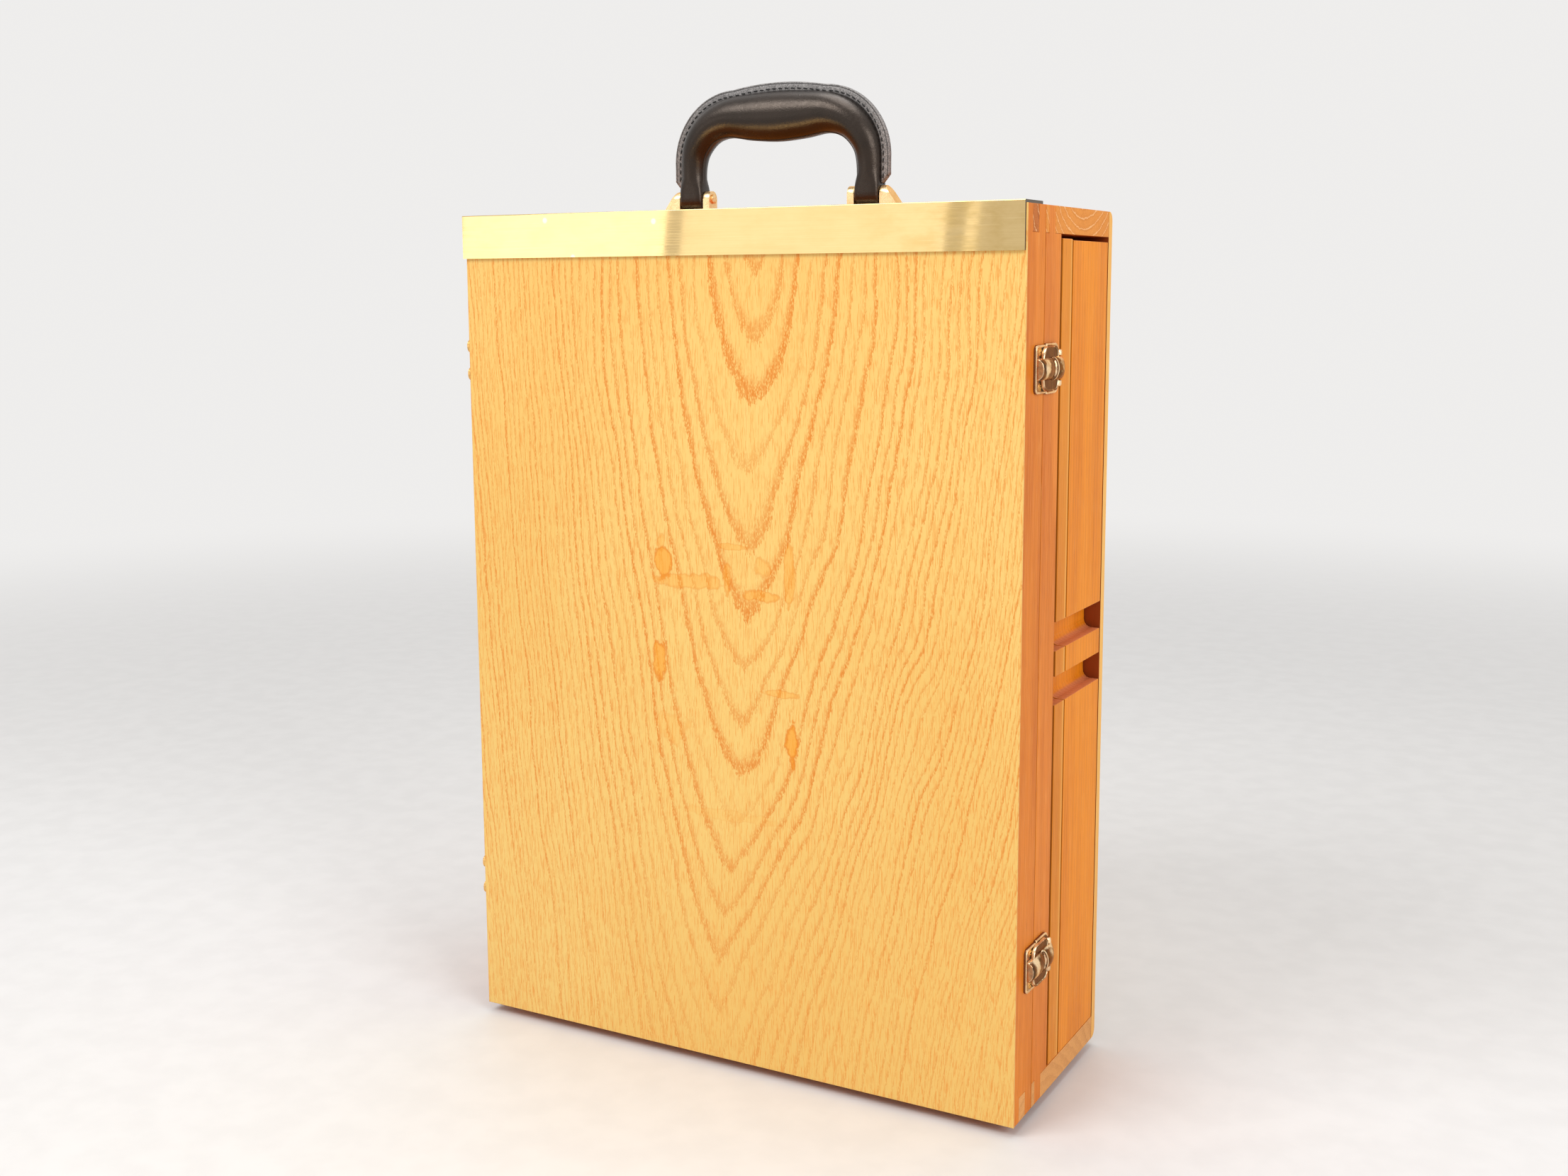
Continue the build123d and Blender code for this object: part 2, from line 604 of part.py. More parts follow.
# ---------------------------------------------------------------- hinges
def hinge_leaf(z, side, knuckles, gaps):
    """Leaf with two rounded lobes at its end; side is -1 on the lid and 1 on the case."""
    end_y = HINGE_PIN_Y + side * LEAF_L
    with BuildPart() as leaf:
        with BuildSketch(Plane.YZ.offset(LEFT - LEAF_T)) as outline:
            span_face(*sorted((HINGE_PIN_Y, end_y)), z - HINGE_H / 2, z + HINGE_H / 2)
            notch_y = end_y - side * LOBE_L
            notch_h = HINGE_H - 2 * LOBE_H
            span_face(*sorted((notch_y, end_y)), z - notch_h / 2, z + notch_h / 2, mode=Mode.SUBTRACT)
            end_corners = outline.vertices().group_by(Axis.X)[0 if side < 0 else -1]
            fillet(end_corners, 0.45 * LOBE_H)
            for low, high in gaps:
                span_face(
                    *sorted((HINGE_PIN_Y, HINGE_PIN_Y + side * KNUCKLE_REACH)), z + low, z + high,
                    mode=Mode.SUBTRACT,
                )
        extrude(amount=LEAF_T)
        for low, high in knuckles:
            with BuildSketch(Plane.XY.offset(z + low)):
                with Locations((HINGE_PIN_X, HINGE_PIN_Y)):
                    Circle(HINGE_KNUCKLE_R)
            extrude(amount=high - low)
            with BuildSketch(Plane.XY.offset(z + low)):
                with Locations((HINGE_PIN_X, HINGE_PIN_Y)):
                    Circle(HINGE_PIN_D / 2 + (PIN_FIT if side < 0 else 0))
            extrude(amount=high - low, mode=Mode.SUBTRACT)
    return leaf


half_h, half_mid = HINGE_H / 2, MIDDLE_KNUCKLE_H / 2
MIDDLE = [(-half_mid, half_mid)]
MIDDLE_CUT = [(-half_mid - HINGE_GAP, half_mid + HINGE_GAP)]
OUTER = [(-half_h, -half_mid - HINGE_GAP), (half_mid + HINGE_GAP, half_h)]
OUTER_CUT = [(-half_h, -half_mid), (half_mid, half_h)]
for level, hinge_z in LATCH_LEVELS.items():
    save(hinge_leaf(hinge_z, -1, OUTER, MIDDLE_CUT), f"hinge_lid_leaf_{level}")
    save(hinge_leaf(hinge_z, 1, MIDDLE, OUTER_CUT), f"hinge_case_leaf_{level}")

with BuildPart() as hinge_pins:
    for hinge_z in LATCH_LEVELS.values():
        with BuildSketch(Plane.XY.offset(hinge_z - half_h)):
            with Locations((HINGE_PIN_X, HINGE_PIN_Y)):
                Circle(HINGE_PIN_D / 2)
        extrude(amount=HINGE_H)
save(hinge_pins, "hinge_pins")


# ---------------------------------------------------------------- handle mounts
def handle_mount(side):
    """Cast base with an upright inner ear and an outer ear that leans out to its foot."""
    inner_face = HALF_PITCH - DRUM_L / 2 - EAR_FIT
    outer_face = HALF_PITCH + DRUM_L / 2 + EAR_FIT
    ear_top = PIVOT_UP + MOUNT_EAR_R
    with BuildPart() as mount:
        with BuildSketch(Plane.XZ.offset(MOUNT_BASE_D / 2)):
            with BuildLine():
                Polyline(
                    (side * (inner_face - INNER_EAR_T), TOP),
                    (side * (inner_face - INNER_EAR_T), TOP + ear_top),
                    (side * inner_face, TOP + ear_top),
                    (side * inner_face, TOP + MOUNT_BASE_T),
                    (side * outer_face, TOP + MOUNT_BASE_T),
                    (side * outer_face, TOP + ear_top),
                    (side * (outer_face + OUTER_EAR_TOP), TOP + ear_top),
                    (side * MOUNT_END, TOP + MOUNT_TOE_T),
                    (side * MOUNT_END, TOP),
                    close=True,
                )
            make_face()
        extrude(amount=-MOUNT_BASE_D)
        with BuildSketch(Plane.YZ.offset(LEFT)) as ear_outline:
            Rectangle(MOUNT_BASE_D, MOUNT_BASE_T, align=(Align.CENTER, Align.MIN))
            Rectangle(2 * MOUNT_EAR_R, PIVOT_UP, align=(Align.CENTER, Align.MIN))
            with Locations((0, PIVOT_UP)):
                Circle(MOUNT_EAR_R)
        ears = extrude(ear_outline.sketch.moved(Location((0, 0, TOP))), amount=CASE_W, mode=Mode.PRIVATE)
        add(ears, mode=Mode.INTERSECT)
        bore_end = outer_face + PIVOT_GRIP
        with BuildSketch(Plane.YZ.offset(side * (inner_face - INNER_EAR_T))):
            with Locations((0, PIVOT_Z)):
                Circle(PIVOT_D / 2)
        extrude(amount=side * (bore_end - inner_face + INNER_EAR_T), mode=Mode.SUBTRACT)
    return mount


save(handle_mount(-1), "handle_mount_left")
save(handle_mount(1), "handle_mount_right")

with BuildPart() as handle_pivot_screws:
    inner_ear_face = HALF_PITCH - DRUM_L / 2 - EAR_FIT - INNER_EAR_T
    pivot_end = HALF_PITCH + DRUM_L / 2 + EAR_FIT + PIVOT_GRIP
    for side in (-1, 1):
        with BuildSketch(Plane.YZ.offset(side * inner_ear_face)):
            with Locations((0, PIVOT_Z)):
                Circle(PIVOT_D / 2)
        extrude(amount=side * (pivot_end - inner_ear_face))
        with BuildSketch(Plane.YZ.offset(side * inner_ear_face)):
            with Locations((0, PIVOT_Z)):
                Circle(PIVOT_HEAD_D / 2)
        extrude(amount=-side * PIVOT_HEAD_T)
save(handle_pivot_screws, "handle_pivot_screws")

# ---------------------------------------------------------------- handle
# Shape of the grip from a leg to the crown, as shares: of the half pitch, of the rise from the
# pivot to the crown, of the growth in half size and in half thickness; then the section's lean
ARCH = [
    (1.0, 0.033, 0.0, 0.0, 0),
    (1.007, 0.413, 0.097, 0.262, 4),
    (0.966, 0.674, 0.262, 0.541, 28),
    (0.816, 0.904, 0.441, 0.770, 58),
    (0.584, 1.017, 0.641, 0.902, 82),
    (0.292, 1.011, 0.876, 0.984, 92),
    (0.0, 1.0, 1.0, 1.0, 90),
]
ARCH += [(-across, rise, half, thick, 180 - lean) for across, rise, half, thick, lean in ARCH[-2::-1]]


def grip_section(across, rise, half_growth, thick_growth, lean_deg):
    """Plane across the arch, X pointing out of it, and the grip's half sizes there."""
    lean = radians(lean_deg)
    plane = Plane(
        origin=(across * HALF_PITCH, 0, PIVOT_Z + rise * (GRIP_MID - PIVOT_UP)),
        x_dir=(cos(lean), 0, sin(lean)),
        z_dir=(-sin(lean), 0, cos(lean)),
    )
    half = LEG_HALF + half_growth * (CROWN_HALF - LEG_HALF)
    thick = LEG_THICK_HALF + thick_growth * (GRIP_THICK / 2 - LEG_THICK_HALF)
    return plane, half, thick


with BuildPart() as handle_core:
    with BuildSketch(Plane.XZ.offset(CORE_BAND_W / 2)):
        with BuildLine():
            FilletPolyline(
                (-HALF_PITCH, PIVOT_Z),
                (-HALF_PITCH, TOP + CORE_UP),
                (HALF_PITCH, TOP + CORE_UP),
                (HALF_PITCH, PIVOT_Z),
                radius=CORE_BEND,
            )
            offset(amount=CORE_BAND_T / 2, kind=Kind.INTERSECTION, side=Side.BOTH)
        make_face()
    extrude(amount=-CORE_BAND_W)
    for side in (-1, 1):
        with BuildSketch(Plane.YZ.offset(side * HALF_PITCH)):
            with Locations((0, PIVOT_Z)):
                Circle(EYE_R)
        extrude(amount=EYE_L / 2, both=True)
    band_and_eyes = handle_core.part
    with BuildSketch(Plane.YZ.offset(-CASE_W / 2)):
        with Locations((0, PIVOT_Z)):
            Circle(PIVOT_D / 2 + PIVOT_FIT)
    extrude(amount=CASE_W, mode=Mode.SUBTRACT)
save(handle_core, "handle_core")

with BuildPart() as handle_grip:
    for row in ARCH:
        plane, half, thick = grip_section(*row)
        with BuildSketch(plane):
            Ellipse(half, thick)
    loft()
    with BuildSketch(Plane.XZ.offset(WELT_T / 2)):
        crest_x, crest_z = WELT_CREST * WELT_HALF, TOP + WELT_TOP - WELT_CREST_DROP
        with BuildLine():
            ThreePointArc((-crest_x, crest_z), (0, TOP + WELT_TOP), (crest_x, crest_z))
            for side in (-1, 1):
                hip = (side * WELT_HALF, TOP + WELT_HIP_UP)
                shoulder = (side * WELT_SHOULDER * WELT_HALF, TOP + WELT_TOP - WELT_SHOULDER_DROP)
                ThreePointArc((side * crest_x, crest_z), shoulder, hip)
                Line(hip, (side * WELT_HALF, TOP + WELT_END_UP))
            Line((-WELT_HALF, TOP + WELT_END_UP), (WELT_HALF, TOP + WELT_END_UP))
        make_face()
        offset(amount=-WELT_DEPTH, mode=Mode.SUBTRACT)
        root_x = WELT_HALF - WELT_DEPTH
        span_face(-root_x, root_x, TOP + WELT_END_UP, TOP + WELT_HIP_UP + WELT_DEPTH, mode=Mode.SUBTRACT)
    extrude(amount=-WELT_T)
    for side in (-1, 1):
        with BuildSketch(Plane.YZ.offset(side * HALF_PITCH)):
            with Locations((0, PIVOT_Z)):
                Circle(DRUM_R)
        extrude(amount=DRUM_L / 2, both=True)
    add(band_and_eyes, mode=Mode.SUBTRACT)
    with BuildSketch(Plane.YZ.offset(-CASE_W / 2)):
        with Locations((0, PIVOT_Z)):
            Circle(PIVOT_D / 2 + PIVOT_FIT)
    extrude(amount=CASE_W, mode=Mode.SUBTRACT)
save(handle_grip, "handle_grip")
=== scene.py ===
"""Looks of the pochade box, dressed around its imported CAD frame.

Sizes and places are millimetres in the part's frame, and become metres by MM where Blender takes
them; the studio (camera, floor, lamps) is in metres.  The oak face looks to -Y, the latches are on
the +X side, Z is up."""
from math import atan2, cos, hypot, pi, radians, sin

import bmesh
import bpy
from mathutils import Matrix, Vector


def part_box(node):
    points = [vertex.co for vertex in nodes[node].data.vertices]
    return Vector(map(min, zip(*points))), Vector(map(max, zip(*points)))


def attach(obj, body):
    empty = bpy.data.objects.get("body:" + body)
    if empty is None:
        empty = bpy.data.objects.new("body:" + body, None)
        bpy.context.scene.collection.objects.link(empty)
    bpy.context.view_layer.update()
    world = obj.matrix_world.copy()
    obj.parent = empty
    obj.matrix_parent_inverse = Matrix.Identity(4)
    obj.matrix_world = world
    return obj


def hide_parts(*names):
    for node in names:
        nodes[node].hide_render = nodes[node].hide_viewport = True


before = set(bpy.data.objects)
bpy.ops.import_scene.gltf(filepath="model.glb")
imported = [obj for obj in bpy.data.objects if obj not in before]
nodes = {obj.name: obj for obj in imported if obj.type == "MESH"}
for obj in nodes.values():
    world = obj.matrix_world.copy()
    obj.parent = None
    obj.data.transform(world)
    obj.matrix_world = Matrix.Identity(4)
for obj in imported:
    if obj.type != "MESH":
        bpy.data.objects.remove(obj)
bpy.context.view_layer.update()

MM = 0.001

# ------------------------ places taken from the frame
PIN_LOW, PIN_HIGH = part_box("handle_pivot_screws")
PIVOT_Z = (PIN_LOW.z + PIN_HIGH.z) / 2 / MM
TOP_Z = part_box("top_board")[1].z / MM
RIGHT_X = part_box("oak_face")[1].x / MM
HALF_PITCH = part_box("handle_core")[1].x / MM - 6.3  # half the distance between the legs
TRAY_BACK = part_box("tray_front_rail")[1].y / MM
LATCH_Z = {level: sum(c.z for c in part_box(f"latch_base_{level}")) / 2 / MM for level in ("lower", "upper")}


# ------------------------ colours
def srgb(r, g, b):
    """Linear colour from display values of 0 to 255."""

    def lin(c):
        c /= 255
        return c / 12.92 if c <= 0.04045 else ((c + 0.055) / 1.055) ** 2.4

    return (lin(r), lin(g), lin(b), 1.0)


# ------------------------ node helpers
class Mat:
    """A node material under construction, with short ways to add and join nodes."""

    def __init__(self, name):
        self.mat = bpy.data.materials.new(name)
        self.mat.use_nodes = True
        self.nt = self.mat.node_tree
        self.bsdf = self.nt.nodes["Principled BSDF"]

    def put(self, inp, value):
        """Socket gets a constant, or a link where value is another socket; None leaves it alone."""
        if isinstance(value, bpy.types.NodeSocket):
            self.nt.links.new(value, inp)
        elif value is not None:
            inp.default_value = value

    def node(self, kind, inputs, **settings):
        """New node with these settings, and with inputs given by name or number."""
        made = self.nt.nodes.new("ShaderNode" + kind)
        for key, value in settings.items():
            setattr(made, key, value)
        for key, value in inputs.items():
            self.put(made.inputs[key], value)
        return made

    def coords(self):
        """Place on the piece, in metres."""
        return self.node("TexCoord", {}).outputs["Object"]

    def coords_mm(self):
        return self.scaled(self.coords(), (1 / MM, 1 / MM, 1 / MM))

    def facing(self):
        """Direction in which the surface faces, in the piece's own axes."""
        return self.node("TexCoord", {}).outputs["Normal"]

    def scaled(self, vector, scale, shift=(0, 0, 0), turn=(0, 0, 0)):
        inputs = {"Vector": vector, "Scale": scale, "Location": shift, "Rotation": turn}
        return self.node("Mapping", inputs).outputs["Vector"]

    def noise(self, vector, scale=1.0, detail=2.0, rough=0.5, distortion=0.0):
        inputs = {"Vector": vector, "Scale": scale, "Detail": detail, "Roughness": rough, "Distortion": distortion}
        return self.node("TexNoise", inputs).outputs["Fac"]

    def grain(self, vector, pitch, detail=2.0, rough=0.5, shift=(0, 0, 0), distortion=0.0):
        """Noise with its own frequency along each axis."""
        return self.noise(self.scaled(vector, pitch, shift), 1.0, detail, rough, distortion)

    def voronoi(self, vector, scale):
        return self.node("TexVoronoi", {"Vector": vector, "Scale": scale}).outputs["Distance"]

    def math(self, operation, a, b=0.0, c=None, clamp=False):
        return self.node("Math", {0: a, 1: b, 2: c}, operation=operation, use_clamp=clamp).outputs[0]

    def times(self, a, b):
        return self.math("MULTIPLY", a, b)

    def times_plus(self, a, b, c, clamp=False):
        """a * b + c"""
        return self.math("MULTIPLY_ADD", a, b, c, clamp)

    def centred(self, value):
        """Noise that runs round 0 instead of round a half."""
        return self.math("SUBTRACT", value, 0.5)

    def length(self, x, y):
        return self.node("VectorMath", {0: self.merge(x, y, 0.0)}, operation="LENGTH").outputs["Value"]

    def split(self, vector):
        return self.node("SeparateXYZ", {0: vector}).outputs

    def merge(self, x, y, z):
        return self.node("CombineXYZ", {0: x, 1: y, 2: z}).outputs[0]

    def span(self, value, low, high, to_low=0.0, to_high=1.0):
        """Smooth step from to_low at low to to_high at high; low may be the larger one."""
        inputs = {"Value": value, "From Min": low, "From Max": high, "To Min": to_low, "To Max": to_high}
        return self.node("MapRange", inputs, interpolation_type="SMOOTHSTEP").outputs["Result"]

    def mix(self, fac, a, b):
        return self.node("Mix", {0: fac, 6: a, 7: b}, data_type="RGBA").outputs[2]

    def bump(self, height, distance, strength):
        return self.node("Bump", {"Height": height, "Distance": distance, "Strength": strength}).outputs["Normal"]

    def finish(self, color, rough, normal=None, **fixed):
        """Gives the shader its colour, roughness and normal, and its other values."""
        for name, value in {"Base Color": color, "Roughness": rough, "Normal": normal, **fixed}.items():
            self.put(self.bsdf.inputs[name.replace("_", " ")], value)
        return self.mat


# ------------------------ wood
GRAIN_TURN = {"x": (0, radians(90), 0), "z": (0, 0, 0)}
WAVER_SLOW, WAVER_FINE = 16, 5.0  # how far the rings waver, mm
STREAK, PORES, FLECKS = 0.30, 0.35, 0.30  # strength of fibres, dark pores and pale flecks
WOOD_BUMP = 0.00010, 0.35  # distance in metres, strength
FLECK_TONE, END_LINE_TONE = srgb(250, 190, 112), srgb(250, 200, 142)


def board_wood(name, along, tones, end_tones, pith, ring, seed, rings=0.16, line=0.0, waver=1.0, rough=0.42,
               extra=None):
    """Straight-grained board with its grain along x or z.  Growth rings of one spacing lie round a
    pith beside the board, and rings is how strongly they show.  Long fibres, short dark pores and
    pale flecks follow the grain.  The end grain is duller, and line is the strength of its thin pale
    ring lines.  extra(m, base, face) adds one board's painted shade, and any mark of its own."""
    m = Mat(name)
    base = m.coords_mm()
    turned = m.scaled(base, (1, 1, 1), turn=GRAIN_TURN[along])
    placed = m.scaled(turned, (1, 1, 1), (pith[0], pith[1], seed * 100))
    x, y, _ = m.split(placed)
    slow = m.grain(placed, (0.016, 0.016, 0.0022))
    fine = m.grain(placed, (0.16, 0.16, 0.012), 3.0, 0.6)
    radius = m.times_plus(slow, WAVER_SLOW * waver, m.length(x, y))
    radius = m.times_plus(fine, WAVER_FINE * waver, radius)
    phase = m.math("FRACT", m.math("DIVIDE", radius, ring))
    band = m.times(m.span(phase, 0.30, 0.90), m.span(phase, 1.0, 0.93))
    fibre = m.grain(placed, (0.9, 0.9, 0.012), 4.0, 0.7)
    pore = m.span(m.grain(placed, (2.1, 2.1, 0.075), 1.0, shift=(7, 2, 5)), 0.60, 0.70)
    fleck = m.span(m.grain(placed, (2.1, 2.1, 0.045), 1.0, shift=(1, 8, 2)), 0.62, 0.72)
    broad = m.grain(placed, (0.05, 0.05, 0.004))

    tone = m.times_plus(band, rings, m.span(broad, 0.35, 0.65, 0.0, 0.34))
    tone = m.times_plus(m.span(fibre, 0.30, 0.70, -0.5, 0.5), STREAK, tone)
    tone = m.times_plus(pore, PORES, tone, clamp=True)
    face = m.mix(m.times(fleck, FLECKS), m.mix(tone, *tones), FLECK_TONE)
    if extra:
        face = extra(m, base, face)

    speck = m.grain(placed, (1.5, 1.5, 1.5), 3.0, 0.65)
    end_tone = m.times_plus(m.span(phase, 0.25, 0.95), 0.25, m.span(speck, 0.30, 0.70, 0.0, 0.50))
    end_tone = m.times_plus(m.span(broad, 0.35, 0.65), 0.15, end_tone, clamp=True)
    ragged = m.grain(placed, (0.8, 0.8, 0.02))
    torn = m.math("FRACT", m.math("DIVIDE", m.times_plus(ragged, 1.6, radius), ring))
    ring_line = m.times(m.span(torn, 0.84, 0.92), m.span(torn, 1.0, 0.94))
    end = m.mix(m.times(ring_line, line), m.mix(end_tone, *end_tones), END_LINE_TONE)

    turned_facing = m.scaled(m.facing(), (1, 1, 1), turn=GRAIN_TURN[along])
    is_end = m.span(m.math("ABSOLUTE", m.split(turned_facing)[2]), 0.50, 0.85)
    height = m.times_plus(pore, -0.9, m.times(fibre, 0.5))
    roughness = m.times_plus(is_end, 0.15, m.span(fibre, 0.3, 0.7, rough - 0.04, rough + 0.06))
    return m.finish(m.mix(is_end, face, end), roughness, m.bump(height, *WOOD_BUMP), Coat_Weight=0.03,
                    Coat_Roughness=0.25, Specular_IOR_Level=0.09)


def painted_gap_shade(m, base, face):
    """Painted shade: sides that face another board across a gap are painted dark brown, the back one more."""
    y = m.split(m.facing())[1]
    face = m.mix(m.span(y, -0.6, -0.9, 0.0, 0.55), face, srgb(128, 56, 20))
    return m.mix(m.span(y, 0.6, 0.9, 0.0, 0.85), face, srgb(112, 46, 18))


def gap_shade_and_pale_streak(m, base, face):
    """Painted shade on the sides that face a gap, and a pale streak along the back edge of the tray's front."""
    face = painted_gap_shade(m, base, face)
    wander = m.grain(base, (0.02, 0.02, 0.012), 1.0)
    y = m.times_plus(wander, 1.6, m.split(base)[1])
    streak = m.times(m.span(y, TRAY_BACK - 2.6, TRAY_BACK - 1.2), 0.5)
    return m.mix(streak, face, srgb(246, 184, 92))


def painted_inner_shade(m, base, face):
    """Painted shade: the back panel's inner side is painted dark red-brown."""
    y = m.split(m.facing())[1]
    return m.mix(m.span(y, -0.6, -0.9), face, srgb(140, 62, 24))


# Figure of the oak face.  Its rings are nested round one centre near the top edge, stretched along
# the grain, and crowd together towards the sides.
FIGURE_X, FIGURE_LEAN = -4.5, 0.055  # the middle line is x = FIGURE_X + FIGURE_LEAN * z
FIGURE_STRETCH, FIGURE_CENTRE = 0.34, 171  # depth is FIGURE_CENTRE - FIGURE_STRETCH * z
FIGURE_ROUND = 1.6  # 1 gives pointed tips, 2 round ones
FIGURE_DRIFT, FIGURE_WAVER, RING_JAG, RING_CHIP = 34, 8, 6.0, 4.0  # slow to fine wandering
RING_PITCH = 12
CROWD_FROM_Z, CROWD_LEAN, CROWD_WIDTH = 300, -0.10, 40
RING_VARY = 0.9  # how much earlier or later a band begins from ring to ring

# Amber patches on the oak: middle (x, z), half size (x, z), strength
STAINS = [
    (-41.5, 303, 6.0, 10, 1.00),
    (-43, 314, 3.5, 5, 0.45),
    (-22, 292, 26, 4.0, 0.45),
    (1.5, 294, 2.6, 8.0, 0.60),
    (24, 287, 11, 3.0, 0.60),
    (25, 303, 4.5, 5.5, 0.40),
    (42, 300, 3.4, 16, 0.60),
    (4, 314, 9, 1.8, 0.45),
    (-44.5, 244, 4.2, 10.5, 1.00),
    (43.3, 203, 3.4, 11.5, 1.10),
    (-36, 204, 10, 9, 0.25),
    (35, 232, 12, 2.2, 0.50),
    (4, 156, 30, 3, 0.15),
]
STAIN_FILL, STAIN_RIM = 0.62, 0.60  # strength of a patch's middle and of its darker rim


def oak_bands(m, base, x, z, outer):
    """Porous part of each ring, 0 to 1.  Some rings are wide and strong, others thin and faint; all
    fade towards the foot and a little towards the sides."""
    slow = m.grain(base, (0.008, 0.008, 0.0045))
    mid = m.grain(base, (0.035, 0.035, 0.014), 2.0, 0.55, (3, 1, 7))
    jag = m.grain(base, (0.55, 0.55, 0.14), 3.0, 0.65)
    chip = m.grain(base, (1.6, 1.6, 0.36), 1.0, shift=(5, 5, 5))
    aside = m.math("SUBTRACT", x, m.times_plus(z, FIGURE_LEAN, FIGURE_X))
    aside = m.times_plus(m.centred(slow), FIGURE_DRIFT, aside)
    aside = m.math("ABSOLUTE", m.times_plus(m.centred(mid), FIGURE_WAVER, aside))
    depth = m.math("ABSOLUTE", m.times_plus(z, -FIGURE_STRETCH, FIGURE_CENTRE))
    far = m.math("ADD", m.math("POWER", aside, FIGURE_ROUND), m.math("POWER", depth, FIGURE_ROUND))
    far = m.math("POWER", far, 1 / FIGURE_ROUND)
    far = m.times_plus(m.centred(slow), FIGURE_DRIFT, far)
    ragged_edge = m.times_plus(m.centred(chip), RING_CHIP, m.times(m.centred(jag), RING_JAG))
    outwards = m.times_plus(m.math("SUBTRACT", z, CROWD_FROM_Z), CROWD_LEAN, aside)
    crowded = m.math("POWER", m.math("DIVIDE", m.math("MAXIMUM", outwards, 0.0), CROWD_WIDTH), 2.0)
    rings = m.math("ADD", m.math("DIVIDE", m.math("ADD", far, ragged_edge), RING_PITCH), crowded)

    phase = m.math("FRACT", rings)
    vary = m.noise(m.merge(m.times(m.math("FLOOR", rings), 0.73), 0.0, 0.0), 1.0, 1.0)
    begin = m.times_plus(m.centred(vary), RING_VARY, phase)
    band = m.times(m.span(begin, 0.58, 0.92), m.span(phase, 1.0, 0.96))
    band = m.times(band, m.span(vary, 0.35, 0.65, 0.65, 1.10))
    band = m.times(band, m.span(z, 50, 190, 0.60, 1.0))
    return m.times(band, m.times_plus(outer, -0.12, 1.0))


def oak_face_material():
    """Flat-sawn oak: nested figures that point down, each ring starting with a jagged row of
    open pores, long fine dashes everywhere, and a few amber patches of old varnish."""
    m = Mat("oak_varnished")
    base = m.coords_mm()
    x, _, z = m.split(base)
    outer = m.span(m.math("ABSOLUTE", x), 115, 165)
    band = oak_bands(m, base, x, z, outer)
    cells = m.span(m.voronoi(m.scaled(base, (1.25, 1.25, 0.50)), 1.0), 0.26, 0.50)
    pores = m.span(m.grain(base, (1.35, 1.35, 0.22), 2.0, 0.6, (11, 5, 2)), 0.42, 0.60)
    porous = m.times(band, m.times_plus(cells, 0.62, m.times_plus(pores, 0.26, 0.02)))
    dash = m.span(m.grain(base, (2.7, 2.7, 0.14), 1.0, shift=(2, 6, 4)), 0.56, 0.64)
    dash = m.times(dash, m.times_plus(outer, 0.05, 0.72))
    fibre = m.grain(base, (0.9, 0.9, 0.009), 3.0, 0.65)
    cloud = m.grain(base, (0.006, 0.006, 0.004))
    color = m.mix(m.span(cloud, 0.35, 0.65), srgb(236, 198, 116), srgb(233, 190, 106))
    color = m.mix(m.span(fibre, 0.35, 0.70, 0.0, 0.40), color, srgb(238, 184, 96))
    color = m.mix(dash, color, srgb(230, 152, 66))
    color = m.mix(porous, color, srgb(222, 134, 46))

    ragged = m.grain(base, (0.14, 0.14, 0.10), 3.0, 0.6, (4, 4, 4))
    for stain_x, stain_z, half_x, half_z, strength in STAINS:
        dx = m.math("DIVIDE", m.math("SUBTRACT", x, stain_x), half_x)
        dz = m.math("DIVIDE", m.math("SUBTRACT", z, stain_z), half_z)
        away = m.times_plus(m.centred(ragged), 2.0, m.length(dx, dz))
        fill = m.span(away, 1.12, 0.85, 0.0, STAIN_FILL * strength)
        rim = m.times(m.span(away, 1.16, 1.02), m.span(away, 0.70, 0.95))
        color = m.mix(fill, color, srgb(238, 154, 26))
        color = m.mix(m.times(rim, STAIN_RIM * strength), color, srgb(222, 122, 14))

    height = m.times_plus(fibre, 0.4, m.times(porous, -0.8))
    return m.finish(color, m.span(fibre, 0.3, 0.7, 0.34, 0.44), m.bump(height, *WOOD_BUMP), Coat_Weight=0.08,
                    Coat_Roughness=0.20, Specular_IOR_Level=0.22)


# ------------------------ metal, leather, rubber
def brass_sheet():
    """Polished brass angle: faint draw marks and scratches along it, clouds of dull oxide darkened towards
    its right end as a painted dim reflection, a few pale dents, and cut ends in painted brown shade."""
    m = Mat("brass_sheet")
    base = m.coords_mm()
    draw = m.grain(base, (0.012, 0.6, 1.8), 3.0, 0.65)
    scratch = m.span(m.grain(base, (0.03, 1.2, 3.6), 1.0, shift=(8, 1, 1)), 0.64, 0.74)
    cloud = m.grain(base, (0.05, 0.05, 0.10), 3.0, 0.6)
    # The ramp along x darkens the right end: painted dim reflection; the clouds are the metal's own dull oxide.
    tarnish_and_dim_reflection = m.times(m.span(cloud, 0.35, 0.75), m.span(m.split(base)[0], 60, 170, 0.25, 1.0))
    dent = m.span(m.voronoi(m.scaled(base, (1, 1, 1), (1, 0, 3)), 0.035), 0.035, 0.075, 1.0, 0.0)
    # Ends facing along x are painted dull brown: painted shade.
    painted_end_shade = m.span(m.math("ABSOLUTE", m.split(m.facing())[0]), 0.6, 0.9)
    color = m.mix(tarnish_and_dim_reflection, srgb(226, 196, 138), srgb(208, 176, 112))
    color = m.mix(m.span(draw, 0.42, 0.72, 0.0, 0.16), color, srgb(204, 172, 112))
    color = m.mix(m.times(scratch, 0.25), color, srgb(240, 214, 160))
    color = m.mix(m.times(dent, 0.6), color, srgb(255, 238, 196))
    color = m.mix(painted_end_shade, color, srgb(84, 66, 44))
    roughness = m.times_plus(tarnish_and_dim_reflection, 0.02, m.span(draw, 0.3, 0.7, 0.02, 0.05))
    height = m.times_plus(dent, -1.2, m.times_plus(scratch, -0.5, draw))
    return m.finish(color, roughness, m.bump(height, 0.00001, 0.06), Metallic=1.0)


